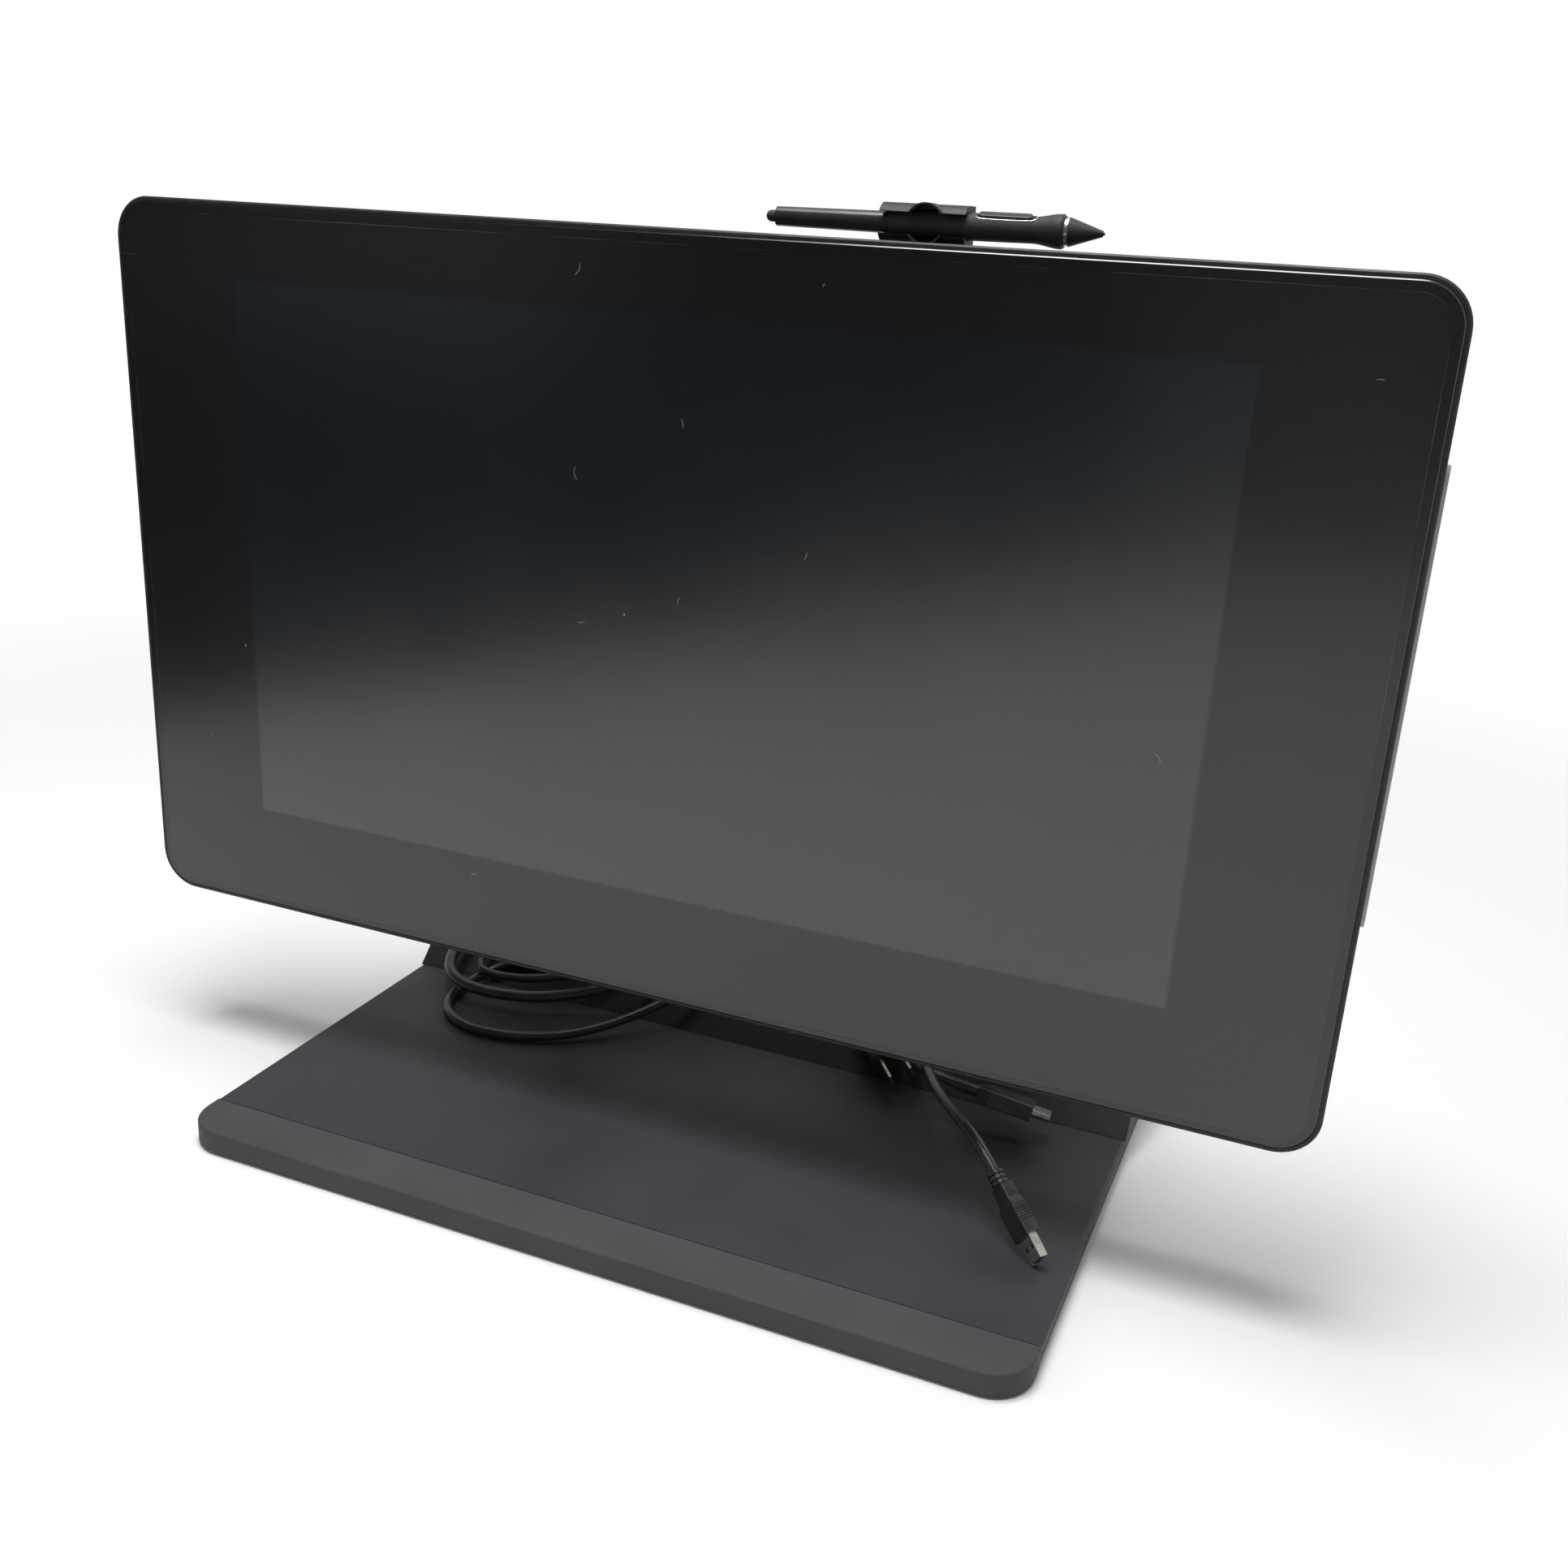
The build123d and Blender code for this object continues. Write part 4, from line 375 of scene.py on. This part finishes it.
finishes = {
    "base_metal": solidFinish("paintedPlate", {
        "colour": (0.033, 0.0342, 0.0395), "rough": 0.5, "gloss": 0.3, "grain": 0.0007, "relief": 0.6,
        "mottle": 0.06, "vary": 1.2, "wear": 0.5, "dust": 0.2, "dustCell": 0.021, "speck": 0.034,
    }),
    "base_plastic": solidFinish("trayPlastic", {
        "colour": (0.012, 0.012, 0.013), "rough": 0.55, "grain": 0.0006, "relief": 0.4, "wear": 0.2,
    }),
    "cover_plastic": solidFinish("coverPlastic", {
        "colour": (0.022, 0.022, 0.023), "rough": 0.5, "gloss": 0.3, "grain": 0.0007, "relief": 0.45,
        "mottle": 0.05, "wear": 0.3, "dust": 0.14, "dustCell": 0.018, "speck": 0.03,
    }),
    "foot_rubber": solidFinish("footRubber", {
        "colour": (0.02, 0.02, 0.02), "rough": 0.8, "gloss": 0.25, "grain": 0.0008, "relief": 0.5,
        "wear": 0.2,
    }),
    "trim_rubber": solidFinish("trimRubber", {
        "colour": (0.058, 0.061, 0.064), "rough": 0.68, "gloss": 0.22, "grain": 0.0004, "relief": 0.4,
        "mottle": 0.05, "vary": 1.2, "wear": 0.75, "worn": (0.09, 0.085, 0.08), "breaks": 0.004,
        "edge": 0.0011, "dust": 0.2, "dustCell": 0.008, "speck": 0.045,
    }),
    "dark_steel": metalFinish("darkSteel", {"colour": (0.11, 0.11, 0.115), "rough": 0.42}),
    "plain_steel": metalFinish("plainSteel", {"colour": (0.55, 0.55, 0.56), "rough": 0.34}),
    "arm_metal": solidFinish("paintedArm", {
        "colour": (0.013, 0.013, 0.0145), "rough": 0.45, "grain": 0.0004, "relief": 0.3, "mottle": 0.06,
        "wear": 0.5, "worn": (0.2, 0.2, 0.2),
    }),
    "bush_plastic": solidFinish("bushPlastic", {
        "colour": (0.42, 0.41, 0.37), "rough": 0.5, "vary": 0.9, "wear": 0.1,
    }),
    "frame_metal": solidFinish("frameMetal", {
        "colour": (0.013, 0.0135, 0.0135), "rough": 0.5, "gloss": 0.4, "grain": 0.0003, "relief": 0.2,
        "mottle": 0.07, "wear": 0.55, "worn": (0.16, 0.16, 0.16), "breaks": 0.01, "edge": 0.0004,
    }),
    "panel_dark": solidFinish("panelDark", {"colour": (0.006, 0.007, 0.008), "rough": 0.3, "wear": 0.1}),
    "vent_grey": solidFinish("ventGrey", {
        "colour": (0.62, 0.63, 0.64), "rough": 0.42, "gloss": 0.5, "grain": 0.0004, "relief": 0.2,
        "mottle": 0.04, "vary": 0.94, "wear": 0.2, "worn": (0.5, 0.5, 0.5), "dust": 0.05,
    }),
    "socket_metal": metalFinish("socketMetal", {"colour": (0.6, 0.58, 0.54), "rough": 0.3, "scale": 700.0}),
    "button_plastic": solidFinish("buttonPlastic", {
        "colour": (0.018, 0.018, 0.02), "rough": 0.38, "wear": 0.4,
    }),
    "cord_plastic": solidFinish("cordPlastic", {
        "colour": (0.018, 0.0182, 0.019), "rough": 0.36, "gloss": 0.6, "grain": 0.0012, "relief": 0.12,
        "mottle": 0.012, "wear": 0.35, "worn": (0.07, 0.07, 0.07), "dust": 0.12, "dustCell": 0.004,
        "speck": 0.05,
    }),
    "plug_metal": metalFinish("plugMetal", {
        "colour": (0.82, 0.79, 0.72), "rough": 0.27, "scale": 900.0, "stretch": (1, 3, 9),
        "mottle": 0.004, "edge": 0.0003,
    }),
    "bladeBrass": metalFinish("bladeBrass", {
        "colour": (0.42, 0.38, 0.29), "rough": 0.36, "scale": 700.0, "stretch": (1, 4, 9),
        "mottle": 0.003, "vary": 0.6,
    }),
    "pen_gloss": solidFinish("penGloss", {
        "colour": (0.02, 0.02, 0.0215), "rough": 0.3, "gloss": 0.6, "grain": 0.0006, "relief": 0.08,
        "mottle": 0.02, "wear": 0.2, "dust": 0.08, "dustCell": 0.005,
    }),
    "pen_rubber": solidFinish("penRubber", {
        "colour": (0.024, 0.024, 0.025), "rough": 0.62, "gloss": 0.4, "grain": 0.0003, "relief": 0.35,
        "mottle": 0.01, "wear": 0.2, "dust": 0.14, "dustCell": 0.004,
    }),
    "nib_plastic": solidFinish("nibPlastic", {
        "colour": (0.035, 0.035, 0.036), "rough": 0.45, "grain": 0.0004, "mottle": 0.004, "wear": 0.2,
        "dust": 0.0,
    }),
}

# Circuit boards: green lacquer with paler tracks
boardLook = {
    "rough": 0.35,
    "coat": 0.3,
    "scale": 260.0,
    "trackFrom": 0.32,
    "trackTo": 0.36,
    "lacquer": (0.01, 0.06, 0.025),
    "track": (0.03, 0.13, 0.05),
    "relief": 0.3,
    "depth": 0.00003,
}


def boardFinish(look):
    material, tree, shader = newFinish("boardGreen", {
        "Roughness": look["rough"],
        "Coat Weight": look["coat"],
    })
    tracks = put(
        tree, "ShaderNodeTexVoronoi", {"Scale": look["scale"]}, feature="F1", distance="CHEBYCHEV")
    tree.links.new(objectPlace(tree), tracks.inputs["Vector"])
    line = remap(tree, tracks.outputs["Distance"], look["trackFrom"], look["trackTo"])
    tree.links.new(mixColour(tree, line, look["lacquer"], look["track"]), shader.inputs["Base Color"])
    addBump(tree, shader, line, look["relief"], look["depth"])
    return material


finishes["board_green"] = boardFinish(boardLook)

# The screen's face: printed border, dark picture area, the etch of the surface, what lies on it, and a
# painted highlight along the film's edge
screenLook = {
    "halfWidth": 0.2608,
    "halfHeight": 0.1467,
    "centre": 0.3047,
    "fade": 0.0009,
    "border": (0.0078, 0.0078, 0.0084),
    "picture": (0.0036, 0.0062, 0.0085),
    "filmGloss": 0.78,
    "glassGloss": 0.7,
    "smoothest": 0.18,
    "roughest": 0.23,
    "coat": 0.72,
    "coatRough": 0.24,
    "coatIndex": 1.5,
    "etch": {"Grain Size": 0.00022, "Mottle Size": 0.12},
    "relief": 0.06,
    "depth": 0.00002,
    "hairs": {
        "pattern": {"Cell": 0.06, "Length": 0.05, "Width": 0.004, "Curl": 7.0, "Share": 0.14},
        "share": 0.8,
        "colour": (0.4, 0.4, 0.38),
    },
    "rubs": {
        "pattern": {
            "Cell": 0.11, "Length": 0.2, "Width": 0.0022, "Curl": 0.3, "Share": 0.16, "Seed": 7.3,
        },
        "share": 0.16,
        "colour": (0.2, 0.2, 0.2),
    },
    "dust": {
        "pattern": {"Cell": 0.03, "Speck": 0.02, "Share": 0.14},
        "share": 0.8,
        "colour": (0.4, 0.4, 0.38),
    },
    # Pale line along the film's edge: a painted highlight, not wear
    "rim": {
        "pattern": {"Radius": 0.0007, "Break Size": 0.12},
        "share": 0.8,
        "colour": (0.16, 0.16, 0.155),
    },
}


def pictureMask(tree, look):
    parts = put(tree, "ShaderNodeSeparateXYZ")
    tree.links.new(objectPlace(tree), parts.inputs["Vector"])
    level = calculate(tree, "SUBTRACT", parts.outputs["Z"], look["centre"])
    sides = []
    for value, half in ((parts.outputs["X"], look["halfWidth"]), (level, look["halfHeight"])):
        away = calculate(tree, "ABSOLUTE", value)
        sides.append(remap(tree, away, half + look["fade"], half - look["fade"]))
    return calculate(tree, "MULTIPLY", *sides)


def screenFinish(name, look, film):
    material, tree, shader = newFinish(name, {
        "Specular IOR Level": look["filmGloss"] if film else look["glassGloss"],
        "Coat Roughness": look["coatRough"],
        "Coat IOR": look["coatIndex"],
    })
    inside = pictureMask(tree, look)
    grain = useGroup(tree, grainGroup, look["etch"])
    face = mixColour(tree, inside, look["border"], look["picture"])
    layers = [(markGroup, "hairs"), (markGroup, "rubs"), (dustGroup, "dust")]
    if film:
        # On the film, the edge mask paints a pale highlight line along its edge
        layers.append((edgeGroup, "rim"))
        tree.links.new(calculate(tree, "MULTIPLY", inside, look["coat"]), shader.inputs["Coat Weight"])
    for group, layer in layers:
        marksAndHighlight = useGroup(tree, group, look[layer]["pattern"])
        face = cover(tree, marksAndHighlight.outputs["Mask"], look[layer]["share"], face, look[layer]["colour"])
    tree.links.new(face, shader.inputs["Base Color"])
    rough = remap(tree, grain.outputs["Mottle"], 0.0, 1.0, look["smoothest"], look["roughest"], False)
    tree.links.new(rough, shader.inputs["Roughness"])
    addBump(tree, shader, grain.outputs["Grain"], look["relief"], look["depth"])
    return material


finishes["screen_film"] = screenFinish("etchedFilm", screenLook, True)
finishes["screen_glass"] = screenFinish("coverGlass", screenLook, False)
print("finishes made")

# Nodes whose finish differs from the rest of their slot
ownFinishes = {"mains_blades": "bladeBrass"}
for entry in frame["record"]["subparts"]:
    materials = nodes[entry["node"]].data.materials
    materials.clear()
    materials.append(finishes[ownFinishes.get(entry["node"], entry["material_slot"])])


# Cords: each is one smooth curve over the points of its route, in metres
cordLooks = {
    "usb": {
        "diameter": 0.006, "length": 0.753, "stiffness": "medium", "pieces": ("usb_plug", "usb_shell"),
        "route": (
            (-0.02, 0.125, 0.047), (-0.02, 0.105, 0.047), (-0.027, 0.084, 0.046), (-0.043, 0.063, 0.039),
            (-0.064, 0.04, 0.028), (-0.088, 0.018, 0.02), (-0.112, 0.001, 0.0176),
            (-0.138, -0.008, 0.0174), (-0.163, -0.008, 0.0174), (-0.185, 0.007, 0.0174),
            (-0.193, 0.032, 0.0174), (-0.185, 0.057, 0.0215), (-0.163, 0.069, 0.0306),
            (-0.134, 0.07, 0.0314), (-0.106, 0.076, 0.037), (-0.076, 0.085, 0.0343),
            (-0.04, 0.089, 0.0334), (0, 0.087, 0.0334), (0.038, 0.089, 0.0334), (0.07, 0.088, 0.0336),
            (0.092, 0.0785, 0.0345), (0.1065, 0.0635, 0.042), (0.116, 0.045, 0.047),
            (0.127, 0.02, 0.051), (0.142, -0.01, 0.0555), (0.16, -0.033, 0.0575),
            (0.178, -0.0504, 0.0547), (0.1887, -0.0584, 0.0459),
        ),
    },
    "mains": {
        "diameter": 0.0075, "length": 0.543, "stiffness": "medium",
        "pieces": ("mains_plug", "mains_blades"),
        "route": (
            (-0.044, 0.125, 0.047), (-0.044, 0.102, 0.047), (-0.056, 0.08, 0.0465), (-0.076, 0.06, 0.041),
            (-0.1, 0.043, 0.033), (-0.129, 0.031, 0.027), (-0.158, 0.024, 0.026), (-0.184, 0.025, 0.026),
            (-0.203, 0.038, 0.028), (-0.21, 0.058, 0.033), (-0.203, 0.076, 0.043), (-0.184, 0.084, 0.05),
            (-0.155, 0.0845, 0.05), (-0.129, 0.086, 0.052), (-0.104, 0.091, 0.049), (-0.08, 0.099, 0.04),
            (-0.048, 0.1065, 0.0355), (-0.014, 0.108, 0.0344), (0.011, 0.11, 0.0365),
            (0.032, 0.1105, 0.043), (0.0513, 0.1032, 0.0474), (0.0652, 0.0865, 0.0441),
        ),
    },
    "video": {
        "diameter": 0.0055, "length": 0.556, "stiffness": "limp", "pieces": ("video_plug", "video_shell"),
        "route": (
            (-0.068, 0.125, 0.047), (-0.068, 0.104, 0.047), (-0.08, 0.084, 0.0465),
            (-0.098, 0.067, 0.0405), (-0.121, 0.054, 0.0345), (-0.15, 0.0435, 0.0295),
            (-0.178, 0.0425, 0.028), (-0.1895, 0.054, 0.0285), (-0.1895, 0.0665, 0.0355),
            (-0.178, 0.075, 0.0405), (-0.152, 0.077, 0.0405), (-0.124, 0.079, 0.044),
            (-0.099, 0.085, 0.042), (-0.072, 0.095, 0.0355), (-0.042, 0.098, 0.0335),
            (-0.008, 0.097, 0.0335), (0.03, 0.099, 0.0335), (0.064, 0.0975, 0.0337),
            (0.087, 0.0915, 0.0341), (0.101, 0.08, 0.0346), (0.108, 0.064, 0.0353),
            (0.1115, 0.048, 0.0378), (0.1195, 0.0365, 0.04), (0.1306, 0.0315, 0.0409),
            (0.1424, 0.0323, 0.0389),
        ),
    },
}


# A round tube along a smooth spline
def addTube(name, radius, sides, steps):
    data = bpy.data.curves.new(name, "CURVE")
    data.dimensions = "3D"
    data.bevel_depth = radius
    data.bevel_resolution = sides
    data.resolution_u = steps
    return data, data.splines.new("NURBS")


def setPoints(spline, places, order):
    spline.points.add(len(places) - 1)
    for point, place in zip(spline.points, places):
        point.co = (*place, 1)
    spline.order_u = order


cordBuild = {"sides": 5, "steps": 14, "order": 3}


def addCord(name, look, build):
    data, spline = addTube(name + "Cord", look["diameter"] / 2, build["sides"], build["steps"])
    data.use_fill_caps = True
    setPoints(spline, look["route"], build["order"])
    spline.use_endpoint_u = True
    lead = addObject(name + "Lead", data)
    data.materials.append(finishes["cord_plastic"])
    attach(lead, "base")
    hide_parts(name + "_cord")
    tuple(look["route"][0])
    [nodes[n] for n in look["pieces"]]


for cordName, cordLook in cordLooks.items():
    addCord(cordName, cordLook, cordBuild)
print("cords laid")

# Tongue inside the USB shell's mouth: blue plastic with gilt contacts
usbTongue = {
    "cordEnd": (0.1887, -0.0584, 0.0459),
    "cordBefore": (0.178, -0.0504, 0.0547),
    "across": (-0.397, 0.385, -0.833),
    "along": 0.0445,
    "drop": 0.0007,
    "size": (0.0098, 0.00202, 0.0081),
    "rounding": 0.00025,
    "roundingSteps": 2,
    "contacts": 4,
    "contact": (0.0011, 0.00016, 0.006),
    "contactShift": 0.0008,
    "pitch": 0.0023,
    "plastic": {"colour": (0.006, 0.035, 0.2), "rough": 0.4, "wear": 0.1, "dust": 0.0},
    "gilt": {"colour": (0.75, 0.55, 0.24), "rough": 0.3, "scale": 900.0},
}


def addUsbTongue(look):
    end = Vector(look["cordEnd"])
    heading = (end - Vector(look["cordBefore"])).normalized()
    upward = heading.cross(Vector(look["across"])).normalized()
    across = upward.cross(heading)
    turn = Matrix((across, upward, heading)).transposed().to_4x4()
    centre = end + heading * look["along"] + upward * look["drop"]
    bm = bmesh.new()
    bmesh.ops.create_cube(bm, size=1.0, matrix=Matrix.Diagonal((*look["size"], 1)))
    bmesh.ops.bevel(
        bm, geom=bm.edges[:], offset=look["rounding"], affect="EDGES", segments=look["roundingSteps"],
        profile=0.5, material=-1)
    for k in range(look["contacts"]):
        shift = (k - (look["contacts"] - 1) / 2) * look["pitch"]
        place = Matrix.Translation((shift, -look["size"][1] / 2, look["contactShift"]))
        strip = bmesh.ops.create_cube(bm, size=1.0, matrix=place @ Matrix.Diagonal((*look["contact"], 1)))
        for face in {f for v in strip["verts"] for f in v.link_faces}:
            face.material_index = 1
    bmesh.ops.transform(bm, matrix=Matrix.Translation(centre) @ turn, verts=bm.verts[:])
    mesh = meshFrom(bm, "usbTongue")
    mesh.materials.append(solidFinish("tonguePlastic", look["plastic"]))
    mesh.materials.append(metalFinish("contactGilt", look["gilt"]))
    tongue = addObject("usbTongue", mesh)
    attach(tongue, "base")


addUsbTongue(usbTongue)

# Bright inlay that runs round the pen's side switch
switchInlay = {
    "axis": (-0.0366, 0.4984),
    "start": 0.1288,
    "end": 0.1562,
    "radius": 0.00578,
    "lean": 25.0,
    "spread": 29.0,
    "straight": 0.6,
    "thick": 0.00028,
    "rounding": 0.0026,
    "sides": 2,
    "steps": 6,
    "order": 3,
    "silver": {"colour": (0.92, 0.92, 0.9), "rough": 0.3, "scale": 800.0},
}


def inlayRoute(look):
    places = []
    for x, inward in ((look["start"], 1), (look["end"], -1)):
        for side in (-inward, inward):
            corner = [(x + inward * look["rounding"], side), (x, side * look["straight"])]
            places.extend(reversed(corner) if side == inward else corner)
    for along, side in places:
        angle = math.radians(look["lean"] + side * look["spread"])
        yield (
            along,
            look["axis"][0] - look["radius"] * math.sin(angle),
            look["axis"][1] + look["radius"] * math.cos(angle),
        )


def addSwitchInlay(look):
    data, spline = addTube("inlayPath", look["thick"], look["sides"], look["steps"])
    setPoints(spline, list(inlayRoute(look)), look["order"])
    spline.use_cyclic_u = True
    path = addObject("inlayPath", data)
    bpy.context.view_layer.update()
    evaluated = path.evaluated_get(bpy.context.evaluated_depsgraph_get())
    mesh = bpy.data.meshes.new_from_object(evaluated)
    bpy.data.objects.remove(path)
    mesh.name = "switchInlay"
    mesh.materials.clear()
    mesh.materials.append(metalFinish("inlaySilver", look["silver"]))
    inlay = addObject("switchInlay", mesh)
    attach(inlay, "pen")


addSwitchInlay(switchInlay)
print("small pieces made")

# Studio: pale floor and soft light
studio = {
    "floorSize": 8.0,
    "floorColour": (0.93, 0.93, 0.92, 1),
    "fadeFrom": 0.55,
    "fadeTo": 1.5,
    "white": (1, 1, 1, 1),
    "worldStrength": 0.22,
    "lamps": {
        "topLamp": {"place": (-0.1, -0.25, 2.3), "aim": (0, -0.1, 0.1), "size": 1.0, "power": 48},
        "sideLamp": {"place": (-1.9, -1.2, 1.5), "aim": (0, 0, 0.2), "size": 1.4, "power": 7},
        "backLamp": {"place": (1.2, 2.0, 1.8), "aim": (0, 0, 0.3), "size": 1.6, "power": 12},
    },
}


def seenDirectly(tree):
    path = put(tree, "ShaderNodeLightPath")
    either = calculate(tree, "MAXIMUM", path.outputs["Is Camera Ray"], path.outputs["Is Glossy Ray"])
    return calculate(tree, "MAXIMUM", either, path.outputs["Is Transmission Ray"])


def mixShaders(tree, factor, first, second, outputKind):
    mix = put(tree, "ShaderNodeMixShader")
    output = put(tree, outputKind)
    tree.links.new(factor, mix.inputs[0])
    tree.links.new(first.outputs[0], mix.inputs[1])
    tree.links.new(second.outputs[0], mix.inputs[2])
    tree.links.new(mix.outputs[0], output.inputs[0])


def makeWorld(look):
    tree = emptyTree(world)
    light = put(tree, "ShaderNodeBackground", {"Color": look["white"], "Strength": look["worldStrength"]})
    plain = put(tree, "ShaderNodeBackground", {"Color": look["white"], "Strength": 1.0})
    mixShaders(tree, seenDirectly(tree), light, plain, "ShaderNodeOutputWorld")


def addFloor(look):
    bm = bmesh.new()
    bmesh.ops.create_grid(bm, x_segments=1, y_segments=1, size=look["floorSize"])
    mesh = meshFrom(bm, "studioFloor")
    material = bpy.data.materials.new("studioFloor")
    tree = emptyTree(material)
    distance = put(tree, "ShaderNodeVectorMath", operation="LENGTH")
    tree.links.new(objectPlace(tree), distance.inputs[0])
    far = remap(tree, distance.outputs["Value"], look["fadeFrom"], look["fadeTo"])
    diffuse = put(tree, "ShaderNodeBsdfDiffuse", {"Color": look["floorColour"]})
    glow = put(tree, "ShaderNodeEmission", {"Color": look["white"], "Strength": 1.0})
    lit = calculate(tree, "MULTIPLY", far, seenDirectly(tree))
    mixShaders(tree, lit, diffuse, glow, "ShaderNodeOutputMaterial")
    mesh.materials.append(material)
    return addObject("studioFloor", mesh)


# Cards that only reflections see: the dim room in front of the screen, and a grey one behind the stand
cardPattern = {"height": 4.0, "scale": 1.7, "detail": 1.0, "patchFrom": 0.5, "patchTo": 0.68}
darkCard = {
    **cardPattern,
    "corners": (
        (-1.3, 0.3), (-0.78, -0.59), (-0.5, -1.1), (0.02, -1.95), (0.6, -2.3), (1.3, -2.0), (2.2, -0.8),
    ),
    "tone": (0.04, 0.045, 0.055),
    "patch": (0.16, 0.17, 0.18),
}
backCard = {
    **cardPattern,
    "corners": ((2.2, 0.6), (1.4, 2.2), (-0.4, 2.6), (-2.0, 1.9), (-2.6, 0.8)),
    "tone": (0.5, 0.5, 0.5),
    "patch": (0.8, 0.8, 0.8),
}


def addCard(look):
    bm = bmesh.new()
    start = bm.verts.new((*look["corners"][0], 0.0))
    for x, y in look["corners"][1:]:
        following = bm.verts.new((x, y, 0.0))
        bm.edges.new((start, following))
        start = following
    raised = bmesh.ops.extrude_edge_only(bm, edges=bm.edges[:])
    corners = [v for v in raised["geom"] if isinstance(v, bmesh.types.BMVert)]
    bmesh.ops.translate(bm, verts=corners, vec=(0, 0, look["height"]))
    mesh = meshFrom(bm, "darkCard")
    material = bpy.data.materials.new("darkCard")
    tree = emptyTree(material)
    noise = put(tree, "ShaderNodeTexNoise", {"Scale": look["scale"], "Detail": look["detail"]})
    tree.links.new(objectPlace(tree), noise.inputs["Vector"])
    glow = put(tree, "ShaderNodeEmission", {"Strength": 1.0})
    patches = remap(tree, noise.outputs["Fac"], look["patchFrom"], look["patchTo"])
    tree.links.new(mixColour(tree, patches, look["tone"], look["patch"]), glow.inputs["Color"])
    output = put(tree, "ShaderNodeOutputMaterial")
    tree.links.new(glow.outputs[0], output.inputs[0])
    mesh.materials.append(material)
    card = addObject("darkCard", mesh)
    card.visible_camera = False
    card.visible_diffuse = False
    card.visible_shadow = False
    card.visible_transmission = False
    return card


def addLamp(name, look):
    data = bpy.data.lights.new(name, "AREA")
    data.shape = "SQUARE"
    data.size = look["size"]
    data.energy = look["power"]
    lamp = addObject(name, data)
    aim = (Vector(look["aim"]) - Vector(look["place"])).to_track_quat("-Z", "Y")
    lamp.matrix_world = Matrix.Translation(look["place"]) @ aim.to_matrix().to_4x4()


makeWorld(studio)
addFloor(studio)
addCard(darkCard)
addCard(backCard)
for lampName, lampLook in studio["lamps"].items():
    addLamp(lampName, lampLook)
print("studio lit")
